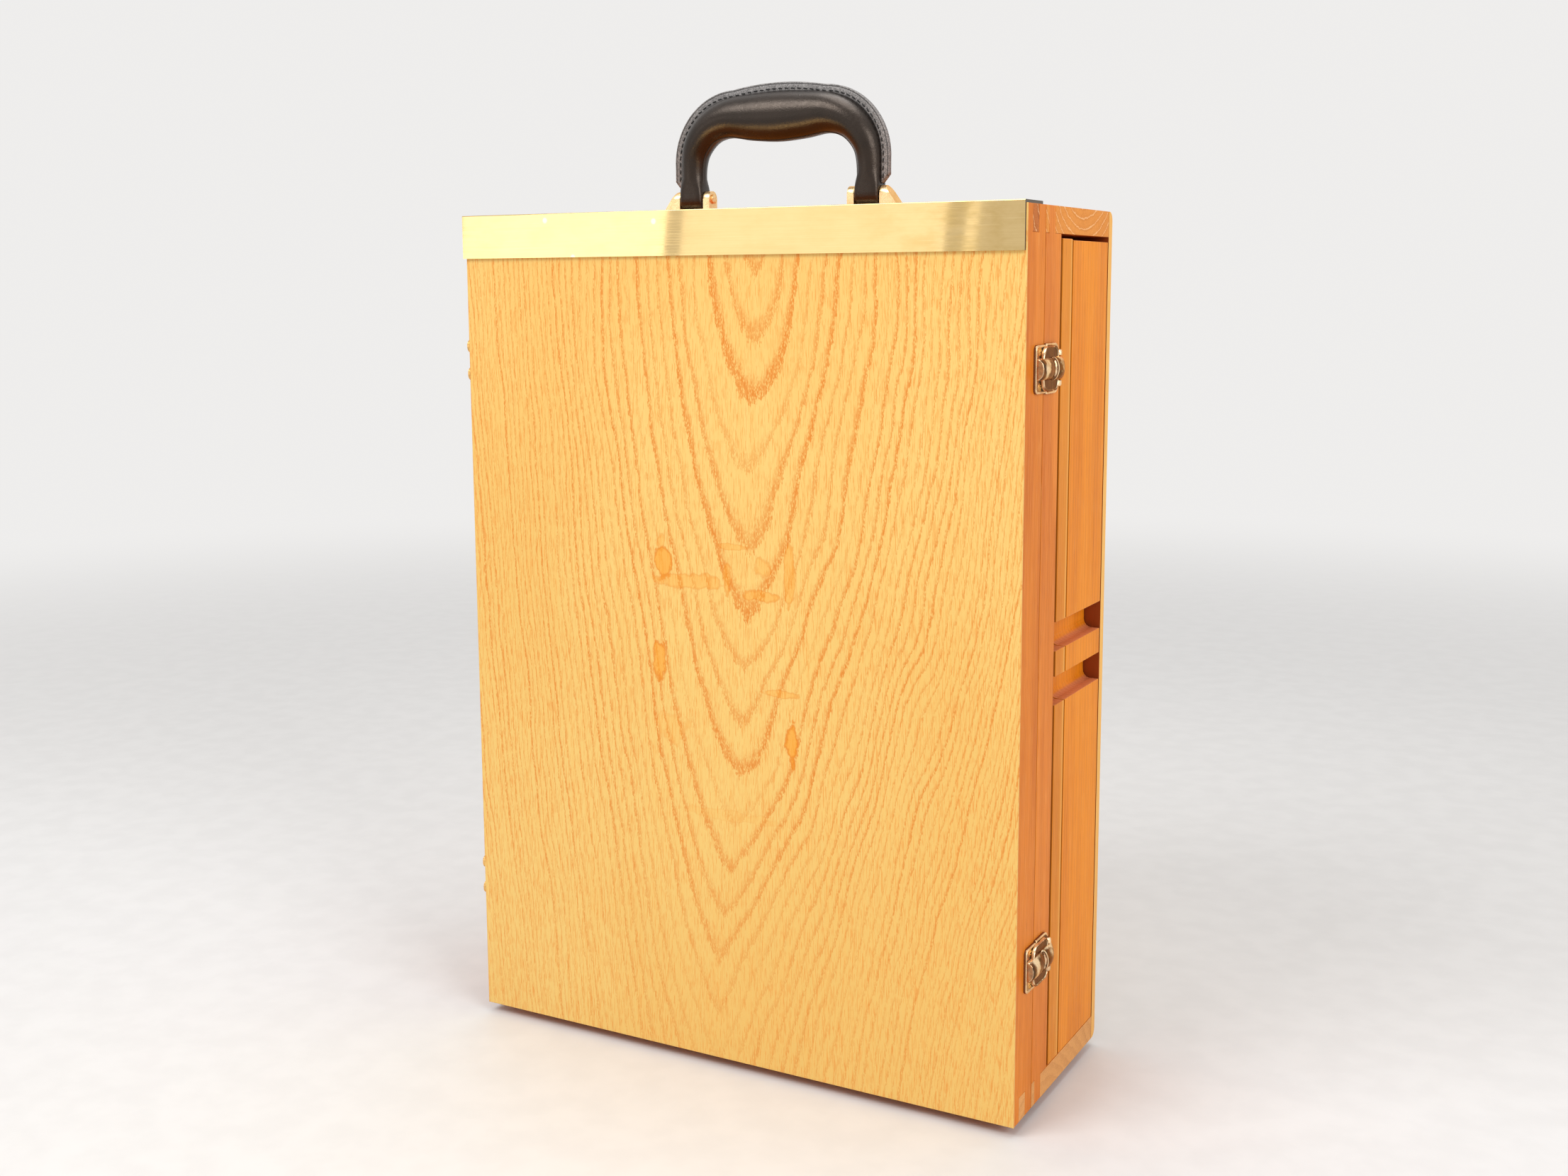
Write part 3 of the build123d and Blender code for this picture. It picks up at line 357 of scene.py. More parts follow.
def brass_cast(name, bright, brown, rough, metallic, toning_and_painted_light=None):
    """Lacquered cast brass: brown toning in soft patches, and fine dark pits.
    toned(m, base, color) adds one casting's own toning of its sides and hollows, and on the lever its painted
    highlights and painted shade."""
    m = Mat(name)
    base = m.coords_mm()
    patch = m.grain(base, (0.16, 0.16, 0.16), 2.0, 0.45, distortion=0.3)
    speck = m.grain(base, (1.8, 1.8, 1.8), 3.0, 0.6)
    pit = m.span(m.voronoi(base, 0.55), 0.0, 0.16, 1.0, 0.0)
    tone = m.times_plus(m.span(patch, 0.44, 0.62), 0.30, m.span(speck, 0.35, 0.75, 0.0, 0.18), clamp=True)
    color = m.mix(tone, bright, brown)
    color = m.mix(m.times(pit, 0.5), color, srgb(120, 80, 40))
    if toning_and_painted_light:
        color = toning_and_painted_light(m, base, color)
    height = m.times_plus(pit, -1.0, m.times_plus(patch, 0.8, speck))
    return m.finish(color, m.span(speck, 0.3, 0.7, rough - 0.04, rough + 0.10), m.bump(height, 0.00007, 0.45),
                    Metallic=metallic, Specular_Tint=srgb(255, 196, 120))


# Painted highlight bands along a latch's barrel: (none, full) on the way in, then on the way out
HIGHLIGHT_IN, HIGHLIGHT_OUT = (-52.8, -50.6), (-45.6, -48.4)
RING_IN, RING_OUT = (-35.3, -34.9), (-33.4, -33.9)
TAIL_IN = (-30.8, -29.4)


def lever_toning_and_painted_light(m, base, color):
    """Painted highlights: a pale band round each part of the barrel, on the ring and on the top; between
    them the barrel gets painted shade in dark brown.  The ends and the sunk tabs are dark brown."""
    facing_x, facing_y, facing_z = m.split(m.facing())
    x, y, _ = m.split(base)
    wave = m.centred(m.grain(base, (0.30, 0.30, 0.30), 3.0))
    along = m.times_plus(wave, 5.0, y)
    # Pale band round the first part of the barrel: painted highlight.
    barrel_highlight = m.times(m.span(along, *HIGHLIGHT_IN), m.span(m.times_plus(facing_z, -2.6, along), *HIGHLIGHT_OUT))
    # Pale bands on the ring and the tail, and a pale top where faces look up: painted highlights.
    ring = m.times(m.span(y, *RING_IN), m.span(y, *RING_OUT))
    tail = m.times(m.span(along, *TAIL_IN), m.span(m.times_plus(facing_z, 0.35, wave), -0.12, 0.30))
    top = m.span(m.times_plus(wave, 0.8, facing_z), 0.72, 0.95, 0.0, 0.8)
    painted_highlights = m.math("MAXIMUM", m.math("MAXIMUM", barrel_highlight, ring), m.math("MAXIMUM", tail, top))
    on_barrel = m.times(m.span(x, RIGHT_X + 2.6, RIGHT_X + 3.2, 0.35, 0.95),
                        m.span(m.math("ABSOLUTE", m.times_plus(wave, 0.6, facing_y)), 0.85, 0.6))
    # Dark brown on the barrel between the pale bands: painted shade.
    painted_barrel_shade = m.mix(m.span(wave, -0.12, 0.16), srgb(120, 64, 24), srgb(46, 20, 6))
    color = m.mix(m.times(m.math("SUBTRACT", 1.0, painted_highlights), on_barrel), color, painted_barrel_shade)
    end_brown = m.mix(m.span(wave, -0.1, 0.2), srgb(176, 108, 54), srgb(120, 66, 32))
    color = m.mix(m.span(facing_y, -0.75, -0.95, 0.0, 0.85), color, end_brown)
    in_tab = m.times(m.span(facing_x, 0.8, 0.95), m.span(x, RIGHT_X + 3.0, RIGHT_X + 2.85))
    tab_brown = m.mix(m.span(wave, -0.15, 0.2), srgb(88, 54, 24), srgb(54, 30, 12))
    return m.mix(m.times(in_tab, 0.92), color, tab_brown)


def plate_toning(m, base, color):
    """Brown floor, darker brown sides, bright rim."""
    on_floor = m.span(m.split(base)[0], RIGHT_X + 1.5, RIGHT_X + 1.1)
    color = m.mix(m.times(on_floor, 0.60), color, srgb(158, 106, 58))
    return m.mix(m.span(m.split(m.facing())[0], 0.45, 0.15, 0.0, 0.85), color, srgb(92, 48, 28))


def leather_black():
    """Black leather stretched smooth, with a fine pebble and a soft satin shine."""
    m = Mat("leather_black")
    base = m.coords_mm()
    pebble = m.voronoi(base, 1.15)
    crease = m.noise(base, 0.55, 4.0, 0.6)
    blotch = m.noise(base, 0.07)
    color = m.mix(m.span(blotch, 0.35, 0.7), srgb(15, 12, 11), srgb(24, 19, 17))
    height = m.times_plus(pebble, 0.8, m.times(crease, 0.7))
    return m.finish(color, m.span(crease, 0.3, 0.7, 0.27, 0.37), m.bump(height, 0.00012, 0.40),
                    Specular_IOR_Level=0.50, Specular_Tint=srgb(255, 232, 214))


def leather_welt():
    """Cut and stitched edge of the same leather, worn grey and dry.  It is dark along the joint of
    its two layers' rim and where it goes into the grip; inward is the depth below its edge in mm."""
    m = Mat("leather_welt")
    inward = m.node("Attribute", {}, attribute_name="inward").outputs["Fac"]
    base = m.coords_mm()
    grain = m.noise(base, 1.5, 4.0, 0.65)
    blotch = m.noise(base, 0.16)
    color = m.mix(m.span(grain, 0.32, 0.66), srgb(72, 69, 68), srgb(158, 154, 152))
    color = m.mix(m.span(blotch, 0.35, 0.65, 0.0, 0.35), color, srgb(84, 80, 79))
    rim_line = m.times(m.span(inward, 0.75, 1.0), m.span(inward, 1.4, 1.15))
    color = m.mix(m.times(rim_line, 0.85), color, srgb(26, 24, 24))
    color = m.mix(m.span(inward, 4.4, 5.2, 0.0, 0.9), color, srgb(24, 21, 20))
    return m.finish(color, m.span(grain, 0.3, 0.7, 0.46, 0.62), m.bump(grain, 0.00022, 0.60),
                    Specular_IOR_Level=0.5)


def thread_black():
    """Waxed black thread."""
    m = Mat("thread_black")
    twist = m.noise(m.coords(), 2600)
    return m.finish(m.mix(twist, srgb(10, 9, 9), srgb(26, 24, 23)), 0.7, m.bump(twist, 0.0001, 0.5))


def rubber_black():
    """Dusty black rubber."""
    m = Mat("rubber_black")
    place = m.coords()
    grain = m.noise(place, 800, 3.0)
    dust = m.noise(place, 90)
    color = m.mix(m.span(dust, 0.45, 0.75), srgb(30, 30, 30), srgb(58, 56, 54))
    return m.finish(color, m.span(grain, 0.3, 0.7, 0.6, 0.8), m.bump(grain, 0.0001, 0.4))


def steel_plated():
    """Dull plated steel."""
    m = Mat("steel_plated")
    grain = m.noise(m.coords(), 900, 3.0)
    color = m.mix(grain, srgb(190, 188, 182), srgb(150, 147, 140))
    return m.finish(color, m.span(grain, 0.3, 0.7, 0.24, 0.40), m.bump(grain, 0.00004, 0.4), Metallic=1.0)


# Light and dark tone of each wood; the frame's boards are redder and darker than the oak
FRAME = srgb(232, 136, 44), srgb(190, 92, 22)
LID_FRAME = srgb(228, 132, 38), srgb(184, 86, 18)
TRAY = srgb(228, 140, 34), srgb(192, 100, 18)
DRAWER = srgb(242, 146, 26), srgb(202, 102, 12)
INNER = srgb(236, 156, 76), srgb(206, 118, 48)
BACK = srgb(248, 190, 100), srgb(230, 154, 66)
CORE = srgb(230, 176, 106), srgb(206, 144, 78)
PALETTE = srgb(206, 138, 70), srgb(172, 100, 46)

# The same for end grain
PLAIN_END = srgb(228, 144, 96), srgb(196, 112, 66)
FINGER_END = srgb(204, 120, 58), srgb(158, 82, 36)
TOP_END = srgb(236, 156, 72), srgb(208, 122, 48)
LOW_END = srgb(236, 172, 104), srgb(204, 138, 78)
BACK_END = srgb(240, 184, 100), srgb(214, 146, 72)
CORE_END = srgb(220, 164, 98), srgb(190, 132, 72)

# Painted shade darkens the sides of the uprights, the lid's rails and the drawer front that face a gap.
upright = board_wood("frame_upright", "z", FRAME, FINGER_END, (110, 60), 4.2, 0.3, extra=painted_gap_shade)
upright_lid = board_wood("frame_upright_lid", "z", LID_FRAME, FINGER_END, (100, 100), 5.0, 1.7, line=0.5,
                         extra=painted_gap_shade)
crosswise = board_wood("frame_crosswise", "x", FRAME, TOP_END, (-545, -20), 5.6, 0.9, line=0.75, waver=0.5)
crosswise_lid = board_wood("frame_crosswise_lid", "x", FRAME, FINGER_END, (-590, -90), 7.5, 1.9, line=0.6)
crosswise_low = board_wood("frame_crosswise_low", "x", FRAME, LOW_END, (50, 30), 7.5, 2.1)
back_wood = board_wood("back_panel_wood", "z", BACK, BACK_END, (70, 120), 6.0, 3.3, extra=painted_inner_shade)
tray_wood = board_wood("tray_wood", "z", TRAY, PLAIN_END, (60, -30), 5.2, 4.1, extra=gap_shade_and_pale_streak)
drawer_wood = board_wood("drawer_wood", "z", DRAWER, PLAIN_END, (-150, -140), 4.4, 5.6, rings=0.20,
                         extra=painted_gap_shade)
inner_wood = board_wood("inner_wood_x", "x", INNER, PLAIN_END, (80, 50), 5.5, 6.2, rough=0.5)
inner_upright = board_wood("inner_wood_z", "z", INNER, PLAIN_END, (80, 50), 5.5, 7.4, rough=0.5)
core_wood = board_wood("core_wood", "z", CORE, CORE_END, (20, 160), 9.0, 8.8, rough=0.5)
palette_wood = board_wood("palette_wood", "z", PALETTE, PLAIN_END, (50, 140), 8.0, 9.5, rough=0.34)
oak = oak_face_material()
brass_bar = brass_sheet()
brass_latch = brass_cast("brass_latch", srgb(240, 190, 116), srgb(168, 116, 62), 0.20, 0.9)
brass_lever = brass_cast("brass_lever", srgb(255, 228, 186), srgb(170, 112, 66), 0.13, 0.75, lever_toning_and_painted_light)
brass_plate = brass_cast("brass_plate", srgb(255, 222, 176), srgb(150, 98, 56), 0.24, 0.75, plate_toning)
brass_mount = brass_cast("brass_mount", srgb(252, 220, 168), srgb(224, 180, 122), 0.26, 0.85)
leather = leather_black()
welt_leather = leather_welt()
thread = thread_black()
rubber = rubber_black()
steel = steel_plated()

NODE_MATERIALS = {
    upright: ["left_board", "right_stile"],
    upright_lid: ["lid_left_rail", "lid_right_rail"],
    crosswise: ["top_board"],
    crosswise_lid: ["lid_top_rail"],
    crosswise_low: ["bottom_board", "lid_bottom_rail"],
    back_wood: ["back_panel"],
    oak: ["oak_face"],
    core_wood: ["lid_core", "drawer_floor"],
    inner_upright: ["panel_strip_hinge_side", "panel_strip_latch_side", "drawer_back", "drawer_long_divider",
                    "tray_back_rail"],
    inner_wood: ["tray_runner_bottom", "tray_runner_top", "tray_side_rail_bottom", "tray_side_rail_top",
                 "drawer_side_bottom", "drawer_side_top", "drawer_cross_divider_lower",
                 "drawer_cross_divider_upper"],
    tray_wood: ["tray_front_rail"],
    palette_wood: ["palette_board"],
    drawer_wood: ["drawer_front"],
    brass_bar: ["brass_edge_angle"],
    brass_mount: ["handle_mount_left", "handle_mount_right", "handle_pivot_screws"],
    leather: ["handle_grip"],
    rubber: ["rubber_feet"],
    steel: ["handle_core"],
}
dressed = {name: material for material, names in NODE_MATERIALS.items() for name in names}
for name, obj in nodes.items():
    obj.data.materials.clear()
    obj.data.materials.append(dressed.get(name, brass_latch))  # the rest are hinges and latches

# Edges rounded a little, as sanded wood and tumbled castings are: radius, nodes
SOFT_EDGES = {0.45: ["drawer_front", "tray_front_rail"],
              0.35: ["top_board", "bottom_board", "left_board", "right_stile", "back_panel", "lid_left_rail",
                     "lid_right_rail", "lid_bottom_rail", "lid_top_rail"],
              0.3: ["handle_mount_left", "handle_mount_right"]}
for width, names in SOFT_EDGES.items():
    for name in names:
        weld = nodes[name].modifiers.new("weld", "WELD")
        weld.merge_threshold = 0.01 * MM
        soft = nodes[name].modifiers.new("soft_edges", "BEVEL")
        soft.width = width * MM
        soft.segments = 2
        soft.limit_method = "ANGLE"
        soft.angle_limit = radians(40)
        soft.harden_normals = True


# ------------------------ mesh helpers
def piece(name, forms, material, body, capped=True):
    """Smooth mesh object that rides on a body and takes the given material.  A form is a list
    of rings, and a ring is a closed row of points in mm.  Rings are joined, and the ends capped."""
    verts, faces = [], []
    for rings in forms:
        first, count = len(verts), len(rings[0])
        last = first + (len(rings) - 1) * count
        verts += [tuple(c * MM for c in point) for ring in rings for point in ring]
        faces += [(r + i, r + (i + 1) % count, r + count + (i + 1) % count, r + count + i)
                  for r in range(first, last, count) for i in range(count)]
        if capped:
            faces += [tuple(range(r, r + count)) for r in (first, last)]
    data = bpy.data.meshes.new(name)
    data.from_pydata(verts, [], faces)
    data.update()
    obj = bpy.data.objects.new(name, data)
    bpy.context.scene.collection.objects.link(obj)
    form = bmesh.new()
    form.from_mesh(data)
    bmesh.ops.recalc_face_normals(form, faces=form.faces)
    form.to_mesh(data)
    form.free()
    data.materials.append(material)
    data.polygons.foreach_set("use_smooth", [True] * len(data.polygons))
    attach(obj, body)
    return obj


def smooth_step(t):
    """0 up to t = 0, 1 from t = 1, and a smooth step between."""
    t = min(max(t, 0.0), 1.0)
    return t * t * (3 - 2 * t)


def catmull(rows, parts):
    """Catmull-Rom spline through rows of numbers, with this many parts to a span."""
    out = []
    for i in range(len(rows) - 1):
        p0, p1, p2, p3 = rows[max(i - 1, 0)], rows[i], rows[i + 1], rows[min(i + 2, len(rows) - 1)]
        for k in range(parts):
            t = k / parts
            out.append(tuple(
                0.5 * (2 * b + (c - a) * t + (2 * a - 5 * b + 4 * c - d) * t**2 + (3 * b - a - 3 * c + d) * t**3)
                for a, b, c, d in zip(p0, p1, p2, p3)
            ))
    return out + [rows[-1]]


def turned_on(angle, before):
    """The angle moved by whole turns until it is within half a turn of the one before."""
    while angle - before > pi:
        angle -= 2 * pi
    while angle - before < -pi:
        angle += 2 * pi
    return angle


def arc_through(a, b, c, parts):
    """Points on the circle arc from a through b to c."""
    (ax, ay), (bx, by), (cx, cy) = a, b, c
    d = 2 * (ax * (by - cy) + bx * (cy - ay) + cx * (ay - by))
    ux = ((ax**2 + ay**2) * (by - cy) + (bx**2 + by**2) * (cy - ay) + (cx**2 + cy**2) * (ay - by)) / d
    uy = ((ax**2 + ay**2) * (cx - bx) + (bx**2 + by**2) * (ax - cx) + (cx**2 + cy**2) * (bx - ax)) / d
    r = hypot(ax - ux, ay - uy)
    start, mid, end = (atan2(y - uy, x - ux) for x, y in (a, b, c))
    end = turned_on(end, turned_on(mid, start))
    return [(ux + r * cos(start + (end - start) * k / parts), uy + r * sin(start + (end - start) * k / parts))
            for k in range(parts + 1)]


# ------------------------ handle
# Across (share of half the pitch), rise above the pivots, half size across the arch, half
# thickness, lean in degrees; the left half mirrors the right one
ARCH = [(1.0, 1.5, 7.3, 7.0, 0), (1.004, 19.0, 7.7, 7.9, 4), (0.958, 30.8, 8.7, 9.8, 28),
        (0.811, 41.0, 9.9, 11.3, 58), (0.583, 46.3, 11.5, 12.2, 82), (0.292, 46.3, 13.5, 12.7, 92),
        (0.0, 45.95, 14.4, 12.8, 90)]
ARCH += [(-across, rise, half, thick, 180 - lean) for across, rise, half, thick, lean in ARCH[-2::-1]]
ARCH_PARTS, AROUND = 8, 44  # sections to a span of the arch, points to a section

# Boot: the squared lower end of a leg, wrapped round its pivot
BOOT_HALF, BOOT_R = 7.75, 6.95
BOOT_TOP, BOOT_BLEND = 13, 11  # rise where a leg begins to square off, and over how much
BOOT_SECTIONS, BOOT_STEP, BOOT_LAST = 9, 9.6, 84  # degrees round the pivot
BOOT_TAPER = 0.9  # how much narrower the tip is
ROUND, SQUARE = 2.0, 5.0  # powers of the sections
PIVOT_HOLE_R = 2.3


def ring_of(x, z, half, thick, lean, power):
    """Closed section of the grip: an ellipse that squares off as the power grows."""
    points = []
    for k in range(AROUND):
        a = 2 * pi * k / AROUND
        across = half * abs(cos(a)) ** (2 / power) * (1 if cos(a) >= 0 else -1)
        deep = thick * abs(sin(a)) ** (2 / power) * (1 if sin(a) >= 0 else -1)
        points.append((x + across * cos(lean), deep, z + across * sin(lean)))
    return points


def boot_rings(side, lean):
    """Sections of a boot, from the leg down to the tip."""
    rings = []
    for k in range(1, BOOT_SECTIONS + 1):
        a = radians(min(BOOT_STEP * k, BOOT_LAST))
        rings.append(ring_of(side * HALF_PITCH, PIVOT_Z - BOOT_R * sin(a),
                             BOOT_HALF - BOOT_TAPER * (k / BOOT_SECTIONS) ** 4, BOOT_R * cos(a), lean, SQUARE))
    return rings


def bore_pivots(obj):
    """Holes through both legs, cut into the mesh so that no modifier is left."""
    drills = []
    for side in (-1, 1):
        place = (side * HALF_PITCH * MM, 0, PIVOT_Z * MM)
        bpy.ops.mesh.primitive_cylinder_add(vertices=32, radius=PIVOT_HOLE_R * MM, depth=30 * MM,
                                            rotation=(0, pi / 2, 0), location=place)
        drills.append(bpy.context.object)
        cut = obj.modifiers.new("pivot_hole", "BOOLEAN")
        cut.operation = "DIFFERENCE"
        cut.object = drills[-1]
        cut.solver = "EXACT"
    bpy.context.view_layer.update()
    bored = bpy.data.meshes.new_from_object(obj.evaluated_get(bpy.context.evaluated_depsgraph_get()))
    obj.modifiers.clear()
    obj.data = bored
    obj.data.materials.clear()
    obj.data.materials.append(leather)
    for drill in drills:
        bpy.data.objects.remove(drill)


arch = catmull(ARCH, ARCH_PARTS)
grip_rings = []
for across, rise, half, thick, lean in arch:
    boot = smooth_step((BOOT_TOP - rise) / BOOT_BLEND)
    grip_rings.append(ring_of(across * HALF_PITCH, PIVOT_Z + rise, half + (BOOT_HALF - half) * boot,
                              thick + (BOOT_R - thick) * boot, radians(lean), ROUND + (SQUARE - ROUND) * boot))
grip_rings = boot_rings(1, 0)[::-1] + grip_rings + boot_rings(-1, pi)
grip = piece("leather_grip", [grip_rings], leather, "handle")
bore_pivots(grip)
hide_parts("handle_grip")

# Welt: a flat band of two leathers along the outside of the arch.  Places on its outer edge are
# (x, rise above the top board).
WELT_HALF = HALF_PITCH + 12.8
CREST = (0.43 * WELT_HALF, 73.2)
SHOULDER = (0.829 * WELT_HALF, 61.2)
PEAK = (0, 76)
HIP, WELT_FOOT = 30.0, 19.0
WELT_STRAIGHT_PARTS, WELT_ARC_PARTS = 6, 44
# One side of its section: depth below the edge, half thickness.  The groove behind the rim is at 1.05.
WELT_SIDE = [(0.0, -0.30), (0.0, -1.0), (0.15, -1.4), (0.5, -1.66), (0.85, -1.62), (1.05, -1.34), (1.25, -1.62),
             (1.6, -1.74), (2.8, -1.75), (3.9, -1.72), (4.8, -1.5), (6.0, -1.3), (9.0, -1.2)]
WELT_SECTION = [(0.4, 0.0)] + WELT_SIDE + [(u, -v) for u, v in WELT_SIDE[::-1]]
FOOT_DROP, FOOT_DROP_SLOPE, FOOT_DROP_TO = 2.6, 1.15, 5.0  # the welt's foot is cut at a slant

straight = [(WELT_HALF, WELT_FOOT + (HIP - WELT_FOOT) * k / WELT_STRAIGHT_PARTS)
            for k in range(WELT_STRAIGHT_PARTS)]
right_half = straight + arc_through((WELT_HALF, HIP), SHOULDER, CREST, WELT_ARC_PARTS)[:-1]
crown = arc_through(CREST, PEAK, (-CREST[0], CREST[1]), WELT_ARC_PARTS)
welt_line = right_half + crown + [(-x, z) for x, z in right_half[::-1]]


def outward(i):
    """Unit normal of the welt's line, pointing out of the arch."""
    (x0, z0), (x1, z1) = welt_line[max(i - 1, 0)], welt_line[min(i + 1, len(welt_line) - 1)]
    far = hypot(x1 - x0, z1 - z0)
    return (z1 - z0) / far, -(x1 - x0) / far


welt_rings, depths = [], []
for i, (x, z) in enumerate(welt_line):
    nx, nz = outward(i)
    slant = max(0.0, (HIP - z) / (HIP - WELT_FOOT))
    ring = []
    for u, v in WELT_SECTION:
        drop = slant * (FOOT_DROP - FOOT_DROP_SLOPE * min(u, FOOT_DROP_TO))
        ring.append((x - nx * u, v, TOP_Z + z - nz * u + drop))
        depths.append(u)
    welt_rings.append(ring)
welt = piece("leather_welt", [welt_rings], welt_leather, "handle")
inward = welt.data.attributes.new("inward", "FLOAT", "POINT")
inward.data.foreach_set("value", depths)
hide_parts("handle_grip")

THREAD_TURN = [2 * pi * k / 8 for k in range(8)]
STITCH_LENGTH, STITCH_R, STITCH_SLOPE = 2.6, 0.42, 0.12
STITCH_FIRST, STITCH_PITCH, STITCH_IN, STITCH_OUT = 1.5, 4.2, 3.7, 1.68  # along, along, depth, off the middle


def stitch(at, along, out):
    """Short rounded roll of thread."""
    across = along.cross(out)
    rings = []
    for t, grow in ((-1.0, 0.35), (-0.86, 0.8), (-0.55, 1.0), (0.55, 1.0), (0.86, 0.8), (1.0, 0.35)):
        rings.append([at + along * (t * STITCH_LENGTH / 2) + (across * cos(a) + out * sin(a)) * STITCH_R * grow
                      for a in THREAD_TURN])
    return rings


sewn = []
travelled, due = 0.0, STITCH_FIRST
for i in range(1, len(welt_line)):
    (x0, z0), (x1, z1) = welt_line[i - 1], welt_line[i]
    step = hypot(x1 - x0, z1 - z0)
    while due <= travelled + step:
        t = (due - travelled) / step
        nx, nz = outward(i)
        along = Vector((nz, 0, -nx))
        for face in (-1, 1):
            at = Vector((x0 + (x1 - x0) * t - nx * STITCH_IN, face * STITCH_OUT,
                         TOP_Z + z0 + (z1 - z0) * t - nz * STITCH_IN))
            slope = (along + Vector((nx, 0, nz)) * STITCH_SLOPE * face).normalized()
            sewn.append(stitch(at, slope, Vector((0, face, 0))))
        due += STITCH_PITCH
    travelled += step
stitches = piece("welt_stitches", sewn, thread, "handle")
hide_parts("handle_grip")

# Seam of the leather along the inner side of the arch, a little to the front
SEAM_R, SEAM_AT = 0.45, radians(197)
seam_rings = []
for across, rise, half, thick, lean in arch[2:-2]:
    turn = radians(lean)
    near = Vector((half * cos(SEAM_AT) * cos(turn), thick * sin(SEAM_AT), half * cos(SEAM_AT) * sin(turn)))
    at = Vector((across * HALF_PITCH, 0, PIVOT_Z + rise)) + near * 0.998
    normal = near.normalized()
    path = Vector((-sin(turn), 0, cos(turn)))
    wide = normal.cross(path).normalized()
    seam_rings.append([at + wide * (SEAM_R * cos(a)) + normal * (SEAM_R * sin(a)) for a in THREAD_TURN])
seam = piece("inner_seam", [seam_rings], leather, "handle")
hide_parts("handle_grip")


# ------------------------ latches
# Along the barrel: Y, crest above the side of the box, half height
BARREL = [(-54.9, 4.9, 5.1), (-54.6, 5.45, 5.4), (-53.6, 5.85, 5.65), (-51.5, 6.2, 5.85), (-48.5, 6.35, 5.95),
          (-45.0, 6.3, 5.95), (-41.5, 6.05, 5.9), (-38.5, 5.6, 5.8), (-36.3, 5.05, 5.7), (-35.8, 5.6, 6.0),
          (-35.1, 6.3, 6.4), (-33.9, 6.35, 6.45), (-33.3, 5.6, 6.1), (-31.8, 5.9, 6.25), (-29.5, 6.3, 6.45),
          (-27.0, 6.3, 6.5), (-25.0, 6.0, 6.45), (-23.0, 5.5, 6.4), (-21.4, 4.8, 6.3), (-20.3, 3.9, 6.1),
          (-19.9, 3.2, 5.9)]
SKIRT, RAISED, RAISED_FROM = 1.3, 1.75, -43.0  # foot of the barrel over the keeper, over the base, and from which Y
WALL, LEAST_ROOM = 0.9, 0.3  # of the barrel's shell
BARREL_PARTS = 22
# Cap on the barrel's front end: crest, half height, and rows of (Y, how much smaller)
CAP_CREST, CAP_HALF = 4.95, 5.12
CAP_ROWS = [(-55.05, 0.15), (-54.95, 0.0), (-54.2, 0.3)]

# Rims from the outer foot to the middle: inset from the outline, height above the side of the box
TAB_LAYERS = [(0.0, 1.7), (0.0, 2.95), (0.25, 3.3), (0.8, 3.35), (1.1, 3.0), (1.4, 2.8), (3.0, 2.8)]
PLATE_LAYERS = [(0.0, 0.0), (0.0, 1.35), (0.3, 1.65), (1.0, 1.68), (1.4, 1.4), (1.8, 1.02), (3.5, 1.0)]

# Outlines: Y from and to, Z from and to off the latch's middle, corner radii
UPPER_TAB = (-49.3, -26.4, 4.8, 11.7, (0.4, 0.4, 4.6, 6.8))
LOWER_TAB = (-49.3, -26.4, -11.7, -4.8, (6.8, 4.6, 0.4, 0.4))
BASE_PLATE = (-40.9, -22.6, -13.3, 13.3, (1.2, 4.5, 4.5, 1.2))
KEEPER_PLATE = (-56.0, -41.5, -12.7, 12.7, (3.0, 1.2, 1.2, 3.0))

# Lug that holds the lever's pin: its profile (height, Y), and slices of it (off the middle, how
# far drawn together towards a point of the profile)
LUG_EYE, LUG_R = (2.3, -23.9), 1.6
LUG = [(0.9, -27.6), (2.2, -26.0)]
LUG += [(LUG_EYE[0] + LUG_R * cos(a), LUG_EYE[1] + LUG_R * sin(a))
        for a in (radians(-50 + 20 * k) for k in range(8))]
LUG += [(1.0, -22.3), (0.0, -22.4), (0.0, -27.6)]
LUG_SLICES = [(6.6, 0.3), (6.8, 0.0), (8.6, 0.0), (9.4, 0.25), (9.8, 0.8)]
LUG_POINT = (1.4, -24)


def half_round(y, base, crest, half, mid_z):
    """Outline across a barrel, from its lower to its upper edge."""
    return [(RIGHT_X + base + (crest - base) * sin(a) ** 0.85, y, mid_z - half * cos(a))
            for a in (pi * k / BARREL_PARTS for k in range(BARREL_PARTS + 1))]


def rounded_outline(y0, y1, z0, z1, radii):
    """Rectangle with rounded corners, in the order (y0, z0), (y1, z0), (y1, z1), (y0, z1)."""
    out = []
    corners = ((y0, z0, pi), (y1, z0, 1.5 * pi), (y1, z1, 0.0), (y0, z1, 0.5 * pi))
    for (y, z, start), r in zip(corners, radii):
        cy, cz = y + (r if y == y0 else -r), z + (r if z == z0 else -r)
        out += [(cy + r * cos(start + pi / 2 * k / 8), cz + r * sin(start + pi / 2 * k / 8)) for k in range(9)]
    return out


def rimmed(plate, layers, mid_z):
    """Cast plate on the side of the box, with a raised rim."""
    outline = rounded_outline(*plate)
    middle_y = sum(p[0] for p in outline) / len(outline)
    middle_z = sum(p[1] for p in outline) / len(outline)
    rings = []
    for inset, height in layers:
        ring = []
        for y, z in outline:
            pull = min(inset / hypot(y - middle_y, z - middle_z), 0.9)
            ring.append((RIGHT_X + height, y + (middle_y - y) * pull, mid_z + z + (middle_z - z) * pull))
        rings.append(ring)
    return rings


